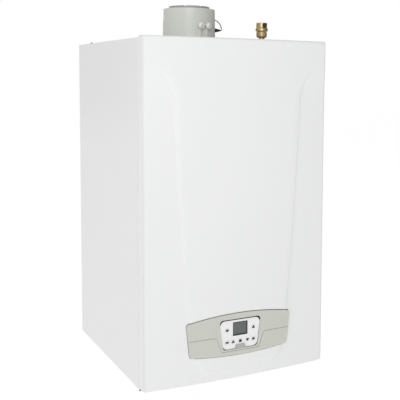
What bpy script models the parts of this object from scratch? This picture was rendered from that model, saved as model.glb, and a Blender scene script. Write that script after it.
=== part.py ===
"""A wall-hung condensing boiler with an 80/125 flue adapter on top, as an assembly of separate pieces.

Metres, +Z up, front towards -Y. Pieces are placed from the wall (y = 0), the casing's centreline
(x = 0) and the casing's bottom edge (z = 0). All of them hang under one empty, which puts the centre
of the wall bracket's back face at the world's origin.
"""

from math import atan2, cos, pi, radians, sin, tan

import bmesh
import bpy
from mathutils import Matrix, Vector

# Overall size and sheet metal
WIDTH = 0.450
HEIGHT = 0.766
DEPTH = 0.505
BOW = 0.011
SHEET = 0.0015
FIT = 0.0003
HALF = WIDTH / 2

# Front panel: a pressed tray with a raised shield
PANEL_RETURN = 0.026
PANEL_BEND = 0.005
PANEL_SEAM = 0.0012
EMBOSS = 0.0025
EMBOSS_SLOPE = 0.004
CHIN_Z = 0.0275
CHIN_HALF = HALF - 0.147
CHIN_CORNER = (HALF - 0.124, 0.033)
FLANK_FOOT = (HALF - 0.114, 0.068)
FLANK_BEND = (HALF - 0.0884, 0.299)
FLANK_TOP = (HALF - 0.068, HEIGHT - 0.126)
FLARE_BEND = (HALF - 0.0665, HEIGHT - 0.089)
FLARE_END = (HALF - 0.018, HEIGHT - 0.0605)

# Casing sheets
SIDE_DROP = 0.004
FRONT_FLANGE = 0.016
WALL_FLANGE = 0.012
TRAY_SETBACK = 0.0125
BOTTOM_RISE = 0.012
SIDE_BEND = 0.002
UPSTAND = 0.0022
GASKET = 0.008
GASKET_DEPTH = 0.010
GASKET_INSET = 0.005

# Captive screws in the panel's bottom return
SCREW_X = HALF - 0.075
SCREW_HEAD = 0.0055
SCREW_SHANK = 0.002
SCREW_HEAD_HEIGHT = 0.003
TONGUE_WIDTH = 0.024

# Wall bracket
BRACKET_WIDTH = WIDTH - 0.110
BRACKET_HEIGHT = 0.045
BRACKET_SHEET = 0.003
BRACKET_LOW = HEIGHT - 0.069
HOOK_X = 0.120
HOOK_WIDTH = 0.036
HOOK_LIP = 0.012
ANCHOR_HOLE = 0.0045
ANCHOR_X = 0.060
OUTER_ANCHOR_X = BRACKET_WIDTH / 2 - 0.015

# Fascia and keypad
FASCIA_TOP_HALF = HALF - 0.0955
FASCIA_FOOT_HALF = HALF - 0.1035
FASCIA_TOP = 0.1385
FASCIA_TOP_ARCH = 0.013
FASCIA_FOOT = 0.0635
FASCIA_FOOT_ARCH = 0.0075
FASCIA_PROUD = 0.002
FASCIA_WALL = 0.003
FASCIA_CORNER = 0.007
FASCIA_GAP = 0.0012
WING_STEP = 0.001
WING_TOP = 0.1005
WING_TOP_HALF = 0.059
WING_FOOT_HALF = 0.047
KEYPAD_TOP_HALF = 0.0520
KEYPAD_FOOT_HALF = 0.0430
KEYPAD_TOP = 0.1380
KEYPAD_FOOT = 0.0695
KEYPAD_CORNER = 0.008
KEYPAD_SUNK = 0.0025
KEYPAD_SHEET = 0.002
KEYPAD_LIP = 0.003
KEYPAD_LIP_GAP = 0.001
KEY_WIDTH = 0.0095
KEY_HEIGHT = 0.0078
KEY_CORNER = 0.0025
KEY_PROUD = 0.0008
KEY_TRAVEL = 0.0008
KEY_FLANGE = 0.001
KEY_FLANGE_SHEET = 0.0012
KEY_GAP = 0.00035
KEY_PLACES = {
    "key_left": (-0.0330, 0.1145),
    "key_right": (0.0330, 0.1145),
    "key_menu_1": (-0.0330, 0.0867),
    "key_menu_2": (-0.0180, 0.0867),
    "key_menu_3": (0.0, 0.0867),
    "key_menu_4": (0.0180, 0.0867),
    "key_menu_5": (0.0330, 0.0867),
}
DISPLAY_HALF = 0.0184
DISPLAY_LOW = 0.0996
DISPLAY_HIGH = 0.1312
TAB_TOP_HALF = 0.0112
TAB_FOOT_HALF = 0.0138
TAB_TOP = 0.0795
SWITCH_RADIUS = 0.0022
SWITCH_HEIGHT = 0.0009
BOARD_SHEET = 0.0016

# Control box behind the fascia
BOX_HALF = HALF - 0.035
BOX_TOP = 0.165
BOX_WALL = 0.0025
BOX_DEPTH = 0.100
MOUTH_HALF = 0.062
MOUTH_LOW = 0.066
MOUTH_HIGH = 0.143

# Flue adapter and what it carries
FLUE_FROM_FRONT = 0.290
FLUE_OUTER = 0.064
FLUE_WALL = 0.003
FLUE_TOP = 0.0880
FLUE_FLANGE = 0.075
FLUE_DRAFT = 0.0012
FLUE_HOLE = 0.054
SOCKET_OUTER = 0.051
SOCKET_WALL = 0.003
SOCKET_RISE = 0.0065
PIPE_OUTER = 0.040
PIPE_WALL = 0.002
PORT_HEIGHT = 0.0445
PORT_RADIUS = 0.0065
PORT_REACH = 0.006
PORT_ANGLES = {"test_cap_left": 1.9, "test_cap_right": 18.9}
RIB_ANGLE = -98.0
WEB_ANGLES = (-30, 90, 210)
CAP_RADIUS = 0.0080
CAP_DEPTH = 0.0075
BOOT_ANGLE = 76.0
BOOT_HEIGHT = 0.038
BOOT_REACH = 0.015
LEAD_RADIUS = 0.0011
LEAD_HOLE = 0.0040
GROMMET_NECK = 0.0115
GROMMET_RIM = 0.015

# Automatic air vent
VENT_FROM_FRONT = 0.180
VENT_X = HALF - 0.0765
VENT_FOOT = HEIGHT + 0.0083
VENT_NECK = 0.0072
VENT_BODY = 0.0133
VENT_COLLAR = 0.0140
VENT_TOP = 0.0425
VENT_SPIGOT_DROP = 0.0058
VENT_CAP_RADIUS = 0.0056
VENT_CAP_DEPTH = 0.009

# Heat exchanger, burner and their pipes
DRUM_Z = HEIGHT - 0.336
DRUM_RADIUS = HALF - 0.107
DRUM_BORE = DRUM_RADIUS - 0.028
DRUM_FRONT = DEPTH - BOW - 0.124
DRUM_BACK = 0.130
DRUM_TURNS = 8
DRUM_GROOVE = 0.005
DOOR_RADIUS = DRUM_RADIUS + 0.007
DOOR_SHEET = 0.013
BURNER_RADIUS = 0.035
BURNER_LENGTH = 0.150
COLLECTOR_DEPTH = 0.098
WATER_PIPE = 0.014
GAS_PIPE = 0.009
FEED_PIPE = 0.007
PIPE_DROP = 0.022
PIPE_CLEARANCE = 0.0015
WATER_X = HALF - 0.060
WATER_Y = -(DRUM_FRONT - 0.120)
SENSOR_Z = 0.200
GAS_X = HALF - 0.105
GAS_Y = -(DRUM_FRONT - 0.040)
DRAIN_RADIUS = 0.0105
DRAIN_X = -0.060
DRAIN_Y = -(DRUM_FRONT - 0.140)
HEADER_OUT = WATER_X - 0.030
HEADER_TOP = DRUM_Z + 0.070
HEADER_LOW = DRUM_Z - 0.080
CHAMBER_TOP = DRUM_Z + 0.048
TRAP_TOP = DRUM_Z - 0.215
VALVE_LOW = DRUM_Z - 0.215
VALVE_TOP = VALVE_LOW + 0.070

# Fan
FAN_X = -0.095
FAN_Z = HEIGHT - 0.126
FAN_FRONT = -(DRUM_FRONT + 0.060)
FAN_BACK = -(DRUM_FRONT + 0.004)
FAN_WALL = 0.003
SCROLL_START = 0.058
SCROLL_GROWTH = 0.020
OUTLET_WIDTH = 0.042
OUTLET_DROP = 0.080
IMPELLER_RADIUS = 0.050
IMPELLER_BLADES = 12
FAN_EYE = 0.028
MIXER_DEPTH = 0.028
FEED_PORT = 0.0165
SILENCER_FRONT = -(DRUM_FRONT + 0.110)

FRONT_CORNER = DEPTH - BOW
FRAME_FRONT = -(FRONT_CORNER - PANEL_RETURN) + PANEL_SEAM
SIDE_TOP = HEIGHT - SIDE_DROP
FLUE_Y = -(FRONT_CORNER - FLUE_FROM_FRONT)
VENT_Y = -(FRONT_CORNER - VENT_FROM_FRONT)
INNER_HALF = HALF - SHEET - FIT
BOX_FRONT = -(FRONT_CORNER - EMBOSS - 0.0065)
FASCIA_BACK = BOX_FRONT - FIT
BRACKET_CENTRE = BRACKET_LOW + BRACKET_HEIGHT / 2
TILT_Y = -(FRONT_CORNER - PANEL_RETURN)
KEYPAD_FRONT = -(DEPTH + FASCIA_PROUD) + KEYPAD_SUNK
LIP_FRONT = -(DEPTH + FASCIA_PROUD) + FASCIA_WALL + KEYPAD_LIP_GAP
KEYPAD_BACK = LIP_FRONT + KEYPAD_SHEET
KEYPAD_CUT = (-(DEPTH + 0.035), -(DEPTH - 0.015))
DUCT_Y = -(DRUM_FRONT + FIT + 0.035)
FEED_Y = FAN_FRONT - FEED_PORT
PIPE_EXITS = (
    ("flow", (WATER_X, WATER_Y), WATER_PIPE),
    ("return", (-WATER_X, WATER_Y), WATER_PIPE),
    ("gas", (GAS_X, GAS_Y), GAS_PIPE),
    ("drain", (DRAIN_X, DRAIN_Y), DRAIN_RADIUS),
)

for leftover in list(bpy.data.objects):
    bpy.data.objects.remove(leftover)

base = bpy.data.objects.new("casing_base", None)
base.location = (0, 0, -BRACKET_CENTRE)
bpy.context.scene.collection.objects.link(base)

tilt = bpy.data.objects.new("front_panel_tilt_axis", None)
tilt.location = (0, TILT_Y, HEIGHT)
tilt.parent = base
bpy.context.scene.collection.objects.link(tilt)


def finish(name, colour, roughness, metallic=0.0):
    """A plain Principled material."""
    material = bpy.data.materials.new(name)
    material.use_nodes = True
    shader = material.node_tree.nodes["Principled BSDF"]
    shader.inputs["Base Color"].default_value = (*colour, 1)
    shader.inputs["Roughness"].default_value = roughness
    shader.inputs["Metallic"].default_value = metallic
    return material


WHITE_ENAMEL = finish("white_enamel", (0.86, 0.87, 0.87), 0.35)
GALVANISED = finish("galvanised_sheet", (0.60, 0.61, 0.62), 0.45, 0.9)
GREY_FASCIA = finish("grey_fascia", (0.57, 0.58, 0.54), 0.45)
WHITE_PLASTIC = finish("white_plastic", (0.88, 0.88, 0.87), 0.40)
GREY_PLASTIC = finish("grey_plastic", (0.55, 0.56, 0.53), 0.50)
DARK_DISPLAY = finish("dark_display", (0.10, 0.11, 0.10), 0.20)
BLACK_PLASTIC = finish("black_plastic", (0.02, 0.02, 0.02), 0.50)
BLACK_RUBBER = finish("black_rubber", (0.02, 0.02, 0.02), 0.85)
BRASS = finish("brass", (0.78, 0.58, 0.30), 0.30, 1.0)
COPPER = finish("copper", (0.72, 0.42, 0.28), 0.30, 1.0)
STAINLESS = finish("stainless", (0.66, 0.66, 0.65), 0.35, 1.0)
CAST_ALUMINIUM = finish("cast_aluminium", (0.62, 0.62, 0.63), 0.50, 1.0)
GREEN_BOARD = finish("green_board", (0.04, 0.22, 0.10), 0.55)
GREY_FOAM = finish("grey_foam", (0.15, 0.15, 0.16), 0.95)
CERAMIC = finish("ceramic", (0.85, 0.83, 0.78), 0.35)
ZINC = finish("zinc", (0.70, 0.70, 0.72), 0.35, 1.0)


def keep(name, shape, material, smooth=40):
    """Turns a bmesh into an object under the casing's empty, with its faces pointing out."""
    bmesh.ops.remove_doubles(shape, verts=shape.verts, dist=1e-7)
    bmesh.ops.recalc_face_normals(shape, faces=shape.faces)
    mesh = bpy.data.meshes.new(name)
    shape.to_mesh(mesh)
    shape.free()
    mesh.shade_smooth()
    mesh.set_sharp_from_angle(angle=radians(smooth))
    thing = bpy.data.objects.new(name, mesh)
    bpy.context.scene.collection.objects.link(thing)
    thing.parent = base
    if material is None:
        thing.hide_render = True
        thing.display_type = "WIRE"
    else:
        mesh.materials.append(material)
    return thing


def boolean(target, tool, operation="DIFFERENCE"):
    """Adds a live Boolean and hides the tool from renders."""
    tool.hide_render = True
    tool.display_type = "WIRE"
    change = target.modifiers.new(operation.lower() + "_" + tool.name, "BOOLEAN")
    change.operation = operation
    change.object = tool
    change.solver = "EXACT"
    return target


def block(name, low, high, material=None, bevel=0.0, segments=1, edges=None):
    """A box from its lowest to its highest corner, with bevelled edges."""
    shape = bmesh.new()
    size = [b - a for a, b in zip(low, high)]
    middle = [(a + b) / 2 for a, b in zip(low, high)]
    bmesh.ops.create_cube(shape, size=1, matrix=Matrix.Translation(middle) @ Matrix.Diagonal((*size, 1)))
    if bevel:
        chosen = [edge for edge in shape.edges if edges is None or along(edge, edges)]
        bmesh.ops.bevel(
            shape, geom=chosen, offset=bevel, segments=segments, profile=0.5, affect="EDGES"
        )
    return keep(name, shape, material)


def along(edge, axis):
    """Whether an edge runs along the axis with this number."""
    run = edge.verts[1].co - edge.verts[0].co
    return abs(run[axis]) > 0.99 * run.length


def loft(name, rings, material=None, smooth=40):
    """A closed skin over rings of points of equal count, capped at both ends."""
    shape = bmesh.new()
    rows = [[shape.verts.new(point) for point in ring] for ring in rings]
    count = len(rows[0])
    for lower, upper in zip(rows, rows[1:]):
        for k in range(count):
            following = (k + 1) % count
            shape.faces.new((lower[k], lower[following], upper[following], upper[k]))
    shape.faces.new(rows[0])
    shape.faces.new(rows[-1])
    return keep(name, shape, material, smooth)


def prism(name, outline, axis, start, end, material=None, smooth=40):
    """An outline of 2-D points carried from start to end along the axis numbered 0, 1 or 2."""
    rings = []
    for level in (start, end):
        ring = []
        for a, b in outline:
            point = [a, b]
            point.insert(axis, level)
            ring.append(point)
        rings.append(ring)
    return loft(name, rings, material, smooth)


def turned(name, profile, centre, axis, material=None, sides=24, phase=0.0):
    """A closed profile of (radius, height) points revolved about an axis through the centre."""
    frame = Vector(axis).normalized().to_track_quat("Z", "Y").to_matrix()
    shape = bmesh.new()
    rings = []
    for radius, height in profile:
        if radius == 0:
            rings.append([shape.verts.new(Vector(centre) + frame @ Vector((0, 0, height)))])
            continue
        ring = []
        for k in range(sides):
            turn = 2 * pi * (k + phase) / sides
            local = Vector((radius * cos(turn), radius * sin(turn), height))
            ring.append(shape.verts.new(Vector(centre) + frame @ local))
        rings.append(ring)
    closed = profile[0][0] != 0 or profile[-1][0] != 0
    pairs = list(zip(rings, rings[1:]))
    if closed:
        pairs.append((rings[-1], rings[0]))
    for first, second in pairs:
        for k in range(sides):
            corners = [first[k % len(first)], first[(k + 1) % len(first)]]
            corners += [second[(k + 1) % len(second)], second[k % len(second)]]
            distinct = list(dict.fromkeys(corners))
            if len(distinct) > 2:
                shape.faces.new(distinct)
    return keep(name, shape, material)


def rod(name, radius, centre, axis, length, material=None, sides=24):
    """A plain cylinder that starts at the centre and runs along the axis."""
    return turned(name, [(0, 0), (radius, 0), (radius, length), (0, length)], centre, axis, material, sides)


def clear_of(radius, sides):
    """Corner radius of a many-sided bore whose flats stay clear of a round piece of this radius."""
    return (radius + FIT) / cos(pi / sides)


def bent(corners, bend, steps=4):
    """A path of straight runs whose corners are rounded by arcs of one bend radius."""
    corners = [Vector(corner) for corner in corners]
    path = [corners[0]]
    for before, corner, after in zip(corners, corners[1:], corners[2:]):
        inward = (before - corner).normalized()
        outward = (after - corner).normalized()
        half = (pi - inward.angle(outward)) / 2
        cut = bend * tan(half)
        centre = corner + (inward + outward).normalized() * (bend / cos(half))
        start = corner + inward * cut - centre
        end = corner + outward * cut - centre
        normal = start.cross(end).normalized()
        for k in range(steps + 1):
            path.append(centre + Matrix.Rotation(2 * half * k / steps, 3, normal) @ start)
    path.append(corners[-1])
    return path


def tube(name, path, outer, bore, material, sides=14):
    """A pipe of even wall swept along a path; with no bore it is solid."""
    headings = []
    for k in range(len(path)):
        ahead = path[min(k + 1, len(path) - 1)]
        behind = path[max(k - 1, 0)]
        headings.append((ahead - behind).normalized())
    headings[0] = (path[1] - path[0]).normalized()
    headings[-1] = (path[-1] - path[-2]).normalized()
    side = headings[0].orthogonal().normalized()
    shape = bmesh.new()
    outside = []
    inside = []
    for point, heading in zip(path, headings):
        side = (side - heading * side.dot(heading)).normalized()
        across = heading.cross(side)
        wheel = [(cos(2 * pi * k / sides), sin(2 * pi * k / sides)) for k in range(sides)]
        outside.append([shape.verts.new(point + outer * (side * a + across * b)) for a, b in wheel])
        if bore:
            inside.append([shape.verts.new(point + bore * (side * a + across * b)) for a, b in wheel])
    skins = [outside, inside] if bore else [outside]
    for rings in skins:
        for lower, upper in zip(rings, rings[1:]):
            for k in range(sides):
                following = (k + 1) % sides
                shape.faces.new((lower[k], lower[following], upper[following], upper[k]))
    for end in (0, -1):
        if bore:
            for k in range(sides):
                following = (k + 1) % sides
                shape.faces.new(
                    (outside[end][k], outside[end][following], inside[end][following], inside[end][k])
                )
        else:
            shape.faces.new(outside[end])
    return keep(name, shape, material)


def line(start, end, steps):
    """Evenly spaced points from start to end, both included."""
    return [
        tuple(a + (b - a) * k / steps for a, b in zip(start, end))
        for k in range(steps + 1)
    ]


def bezier(start, bend, end, steps):
    """Points along the quadratic curve that leaves start and reaches end aiming at bend."""
    points = []
    for k in range(steps + 1):
        t = k / steps
        points.append(
            tuple(
                (1 - t) ** 2 * a + 2 * t * (1 - t) * b + t * t * c
                for a, b, c in zip(start, bend, end)
            )
        )
    return points


def rounded(corners, radius, steps=3):
    """A closed 2-D outline with every corner rounded by the same radius."""
    outline = []
    count = len(corners)
    for k in range(count):
        corner = Vector(corners[k])
        before = Vector(corners[k - 1])
        after = Vector(corners[(k + 1) % count])
        inward = (before - corner).normalized()
        outward = (after - corner).normalized()
        half = inward.angle(outward) / 2
        cut = radius / tan(half)
        centre = corner + (inward + outward).normalized() * (radius / sin(half))
        start = corner + inward * cut - centre
        end = corner + outward * cut - centre
        first = atan2(start.y, start.x)
        sweep = (atan2(end.y, end.x) - first + pi) % (2 * pi) - pi
        for j in range(steps + 1):
            turn = first + sweep * j / steps
            outline.append((centre.x + radius * cos(turn), centre.y + radius * sin(turn)))
    return outline


def rectangle(low, high):
    """The four corners of an upright 2-D rectangle."""
    return [(low[0], low[1]), (high[0], low[1]), (high[0], high[1]), (low[0], high[1])]


def front_y(x):
    """Depth of the bowed front at this distance from the centreline."""
    return -(DEPTH - BOW * (x / HALF) ** 2)


def rim_point(distance):
    """A point on the front panel's flat edge, walked from the bottom centre round to the top corner."""
    reach = HALF - PANEL_BEND
    if distance <= reach:
        return distance, PANEL_BEND
    return reach, PANEL_BEND + distance - reach


def front_panel():
    """The bowed tray: rows fan out from the centreline over the shield's edge to the rim."""
    reach = HALF - PANEL_BEND
    top = HEIGHT - PANEL_BEND
    side_run = top - PANEL_BEND
    shield = line((0, CHIN_Z), (CHIN_HALF, CHIN_Z + 0.001), 4)
    shield += bezier(shield[-1], CHIN_CORNER, FLANK_FOOT, 4)[1:]
    shield += bezier(FLANK_FOOT, FLANK_BEND, FLANK_TOP, 6)[1:]
    shield += bezier(FLANK_TOP, FLARE_BEND, FLARE_END, 7)[1:]
    shield += line(FLARE_END, (FLARE_END[0], top), 2)[1:]
    stations = [reach * 0.8 * k / 4 for k in range(5)]
    stations += [reach * 0.9, reach, reach + 0.030, reach + FLANK_FOOT[1] - PANEL_BEND]
    for _, z in shield[9:15]:
        stations.append(reach + z - PANEL_BEND)
    for k in range(1, 8):
        stations.append(reach + FLANK_TOP[1] - PANEL_BEND + (FLARE_END[1] - FLANK_TOP[1]) * k / 7)
    stations += [reach + (FLARE_END[1] + top) / 2 - PANEL_BEND, reach + side_run]
    middle = [0.165 + 0.006 * k for k in range(9)]
    for k in range(1, 7):
        middle.append(middle[8] + (FLANK_TOP[1] - middle[8]) * k / 6)
    for k in range(1, 8):
        middle.append(FLANK_TOP[1] + (FLARE_END[1] - FLANK_TOP[1]) * k / 7)
    middle += [(FLARE_END[1] + top) / 2, top]
    fades = [1.0] * 17 + [0.92, 0.75, 0.5, 0.22, 0.0, 0.0, 0.0]

    shape = bmesh.new()
    columns = 3
    rows = []
    for k, (crest, station, centre_z, fade) in enumerate(zip(shield, stations, middle, fades)):
        before = Vector(shield[max(k - 1, 0)])
        after = Vector(shield[min(k + 1, len(shield) - 1)])
        run = (after - before).normalized()
        foot = Vector(crest) + Vector((run.y, -run.x)) * EMBOSS_SLOPE
        if k == 0:
            foot = Vector((0, CHIN_Z - EMBOSS_SLOPE))
        if k == len(shield) - 1:
            foot.y = top
        rim = Vector(rim_point(station))
        row = []
        for x, z in line((0, centre_z), crest, columns):
            row.append(shape.verts.new((x, front_y(x), z)))
        for x, z in line(tuple(foot), tuple(rim), 2):
            row.append(shape.verts.new((x, front_y(x) + EMBOSS * fade, z)))
        rows.append(row)
    for lower, upper in zip(rows, rows[1:]):
        for j in range(len(lower) - 1):
            shape.faces.new((lower[j], lower[j + 1], upper[j + 1], upper[j]))

    rim = []
    for row, station in zip(rows, stations):
        angles = [-90] if station < reach else [0]
        if abs(station - reach) < 1e-9:
            angles = [-90, -60, -30, 0]
        rim += [(row[-1], angle) for angle in angles]
    rim += [(rows[-1][-1], angle) for angle in (30, 60, 90)]
    rim += [(vertex, 90) for vertex in reversed(rows[-1][:-1])]
    back = -(FRONT_CORNER - PANEL_RETURN)
    previous = [vertex for vertex, _ in rim]
    for lift in (0.5, 1.0, None):
        ring = []
        for vertex, angle in rim:
            reach_out = PANEL_BEND * (1 if lift is None else sin(lift * pi / 2))
            x = vertex.co.x + reach_out * cos(radians(angle))
            z = vertex.co.z + reach_out * sin(radians(angle))
            y = back if lift is None else vertex.co.y + PANEL_BEND * (1 - cos(lift * pi / 2))
            ring.append(shape.verts.new((x, y, z)))
        for k in range(len(rim) - 1):
            corners = list(dict.fromkeys((previous[k], previous[k + 1], ring[k + 1], ring[k])))
            shape.faces.new(corners)
        previous = ring
    bmesh.ops.recalc_face_normals(shape, faces=shape.faces)
    if rows[0][0].link_faces[0].normal.y > 0:
        bmesh.ops.reverse_faces(shape, faces=shape.faces)
    mesh = bpy.data.meshes.new("front_panel")
    shape.to_mesh(mesh)
    shape.free()
    mesh.shade_smooth()
    mesh.set_sharp_from_angle(angle=radians(25))
    mesh.materials.append(WHITE_ENAMEL)
    panel = bpy.data.objects.new("front_panel", mesh)
    bpy.context.scene.collection.objects.link(panel)
    hang_on_tilt(panel)
    mirror = panel.modifiers.new("halves", "MIRROR")
    mirror.merge_threshold = 0.00002
    wall = panel.modifiers.new("sheet", "SOLIDIFY")
    wall.thickness = SHEET
    wall.offset = -1
    wall.use_even_offset = True
    boolean(panel, fascia_shape("panel_cutout", FASCIA_GAP, 0.020, FASCIA_BACK, None))
    for x in (-SCREW_X, SCREW_X):
        start = (x, screw_y(), -0.005)
        hole = rod(f"panel_hole_{x:+.2f}", SCREW_SHANK + FIT, start, (0, 0, 1), 0.012, None, 10)
        boolean(panel, hole)
    return panel


def hang_on_tilt(thing):
    """Parents a piece to the empty on the tilt axis and leaves it where it was drawn."""
    thing.parent = tilt
    thing.location = -tilt.location


def screw_y():
    """The screws stand in the middle of the panel's bottom return."""
    return -(FRONT_CORNER - PANEL_RETURN * 0.45)


def fascia_shape(name, grow, ahead, back, material):
    """The lens-shaped fascia outline grown all round, from a bowed front to a flat back."""
    steps = 12
    shape = bmesh.new()
    surfaces = []
    for flat in (False, True):
        rows = []
        for high in (False, True):
            half = (FASCIA_TOP_HALF if high else FASCIA_FOOT_HALF) + grow
            edge = FASCIA_TOP + grow if high else FASCIA_FOOT - grow
            arch = FASCIA_TOP_ARCH if high else -FASCIA_FOOT_ARCH
            row = []
            for k in range(steps + 1):
                u = -1 + 2 * k / steps
                x = half * u
                y = back if flat else front_y(x) - ahead
                row.append(shape.verts.new((x, y, edge + arch * (1 - u * u))))
            rows.append(row)
        for k in range(steps):
            shape.faces.new((rows[0][k], rows[0][k + 1], rows[1][k + 1], rows[1][k]))
        surfaces.append(rows)
    front, rear = surfaces
    for front_row, back_row in zip(front, rear):
        for k in range(steps):
            shape.faces.new((front_row[k], front_row[k + 1], back_row[k + 1], back_row[k]))
    corner_edges = []
    for end in (0, -1):
        shape.faces.new((front[0][end], front[1][end], rear[1][end], rear[0][end]))
        for level in (0, 1):
            corner_edges.append({front[level][end], rear[level][end]})
    chosen = [edge for edge in shape.edges if set(edge.verts) in corner_edges]
    bmesh.ops.recalc_face_normals(shape, faces=shape.faces)
    bmesh.ops.bevel(
        shape, geom=chosen, offset=FASCIA_CORNER + grow, segments=3, profile=0.5, affect="EDGES"
    )
    return keep(name, shape, material, 35)


def side_panel(name, side):
    """One bent sheet: a return at the front for the gasket and a narrower one that meets the wall."""
    outer = HALF * side
    inner = (HALF - SHEET) * side
    lip = (HALF - FRONT_FLANGE) * side
    foot = (HALF - WALL_FLANGE) * side
    outline = [
        (outer, 0), (outer, FRAME_FRONT), (lip, FRAME_FRONT), (lip, FRAME_FRONT + SHEET),
        (inner, FRAME_FRONT + SHEET), (inner, -SHEET), (foot, -SHEET), (foot, 0),
    ]
    panel = prism(name, outline, 2, 0, SIDE_TOP, WHITE_ENAMEL)
    soften(panel, lambda a, b: a.x * side > HALF - 1e-6 and a.y < FRAME_FRONT + 1e-6, 2)
    return panel


def soften(thing, test, axis, width=SIDE_BEND, segments=3):
    """Rounds the edges along an axis whose ends pass the test, as a press brake leaves a bend."""
    shape = bmesh.new()
    shape.from_mesh(thing.data)
    chosen = [
        edge for edge in shape.edges
        if along(edge, axis) and test(edge.verts[0].co, edge.verts[1].co)
    ]
    bmesh.ops.bevel(shape, geom=chosen, offset=width, segments=segments, profile=0.5, affect="EDGES")
    shape.to_mesh(thing.data)
    shape.free()
    thing.data.shade_smooth()
    thing.data.set_sharp_from_angle(angle=radians(40))


def rear_frame():
    """A shallow tray, open to the wall, with two slots that drop over the wall bracket's hooks."""
    low = BOTTOM_RISE + SHEET + FIT
    high = SIDE_TOP - SHEET - FIT
    wall = -SHEET - FIT
    front = -TRAY_SETBACK - SHEET
    frame = block("rear_frame", (-INNER_HALF, front, low), (INNER_HALF, wall, high), GALVANISED)
    hollow = block(
        "rear_hollow",
        (-INNER_HALF + SHEET, -TRAY_SETBACK, low + SHEET),
        (INNER_HALF - SHEET, 0.01, high - SHEET),
    )
    boolean(frame, hollow)
    for x in (-HOOK_X, HOOK_X):
        slot = block(
            f"hook_slot_{x:+.2f}",
            (x - HOOK_WIDTH / 2 - 0.002, front - 0.01, hook_top() - 0.022),
            (x + HOOK_WIDTH / 2 + 0.002, -0.004, hook_top() + FIT),
            None, 0.001, 1, 1,
        )
        boolean(frame, slot)
    return frame


def hook_top():
    """Height of the bracket's hook tongues, on which the rear frame hangs."""
    return BRACKET_LOW + 0.014


def wall_bracket():
    """The rail screwed to the wall, with two tongues that reach forward and turn up."""
    bracket = block(
        "wall_bracket",
        (-BRACKET_WIDTH / 2, -BRACKET_SHEET, BRACKET_LOW),
        (BRACKET_WIDTH / 2, 0, BRACKET_LOW + BRACKET_HEIGHT),
        ZINC, 0.006, 2, 1,
    )
    front = -TRAY_SETBACK - SHEET - BRACKET_SHEET - 0.004
    low = hook_top() - BRACKET_SHEET
    for x in (-HOOK_X, HOOK_X):
        left = x - HOOK_WIDTH / 2
        right = x + HOOK_WIDTH / 2
        outline = [
            (-0.001, low), (front, low), (front, hook_top() + HOOK_LIP),
            (front + BRACKET_SHEET, hook_top() + HOOK_LIP), (front + BRACKET_SHEET, hook_top()),
            (-0.001, hook_top()),
        ]
        tongue = prism(f"hook_{x:+.2f}", outline, 0, left, right)
        boolean(bracket, tongue, "UNION")
    for x, rise in ((-ANCHOR_X, 0.5), (ANCHOR_X, 0.5), (-OUTER_ANCHOR_X, 0.72), (OUTER_ANCHOR_X, 0.72)):
        start = (x, -0.01, BRACKET_LOW + BRACKET_HEIGHT * rise)
        boolean(bracket, rod(f"anchor_hole_{x:+.3f}", ANCHOR_HOLE, start, (0, 1, 0), 0.02, None, 12))
    return bracket


def top_plate():
    """The lid between the side panels, with an upstand that the front panel's top return rests on."""
    top = SIDE_TOP
    front = -(FRONT_CORNER - PANEL_RETURN) - 0.0035
    flange_back = FRAME_FRONT + SHEET + FIT
    plate = block(
        "top_plate", (-INNER_HALF, flange_back, top - SHEET), (INNER_HALF, -SHEET - FIT, top), GALVANISED
    )
    between = HALF - FRONT_FLANGE - FIT
    ledge = block("top_ledge", (-between, front, top - SHEET), (between, flange_back + 0.01, top))
    upstand = block(
        "top_upstand", (-between + 0.002, front, top - SHEET / 2),
        (between - 0.002, front + SHEET, top + UPSTAND),
    )
    down = block(
        "top_down_flange", (-INNER_HALF + 0.002, flange_back, top - 0.014),
        (INNER_HALF - 0.002, flange_back + SHEET, top - SHEET / 2),
    )
    for piece in (ledge, upstand, down):
        boolean(plate, piece, "UNION")
    holes = (
        ("flue_hole", FLUE_HOLE, (0, FLUE_Y), 32),
        ("vent_hole", GROMMET_NECK + FIT, (VENT_X, VENT_Y), 24),
        ("lead_hole", LEAD_HOLE + FIT, lead_entry(), 12),
    )
    for name, radius, (x, y), sides in holes:
        boolean(plate, rod(name, radius, (x, y, top - 0.01), (0, 0, 1), 0.02, None, sides))
    return plate


def grommet(name, x, y, neck, rim, bore, sides=18):
    """A rubber ring snapped into a hole of the top plate, its groove round the sheet's edge."""
    under = -SHEET - FIT
    profile = [
        (bore, under - 0.002), (rim - 0.001, under - 0.002), (rim - 0.001, under), (neck, under),
        (neck, FIT), (rim, FIT), (rim, 0.0015), (neck, 0.003), (bore, 0.003),
    ]
    return turned(name, profile, (x, y, SIDE_TOP), (0, 0, 1), BLACK_RUBBER, sides)


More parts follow.
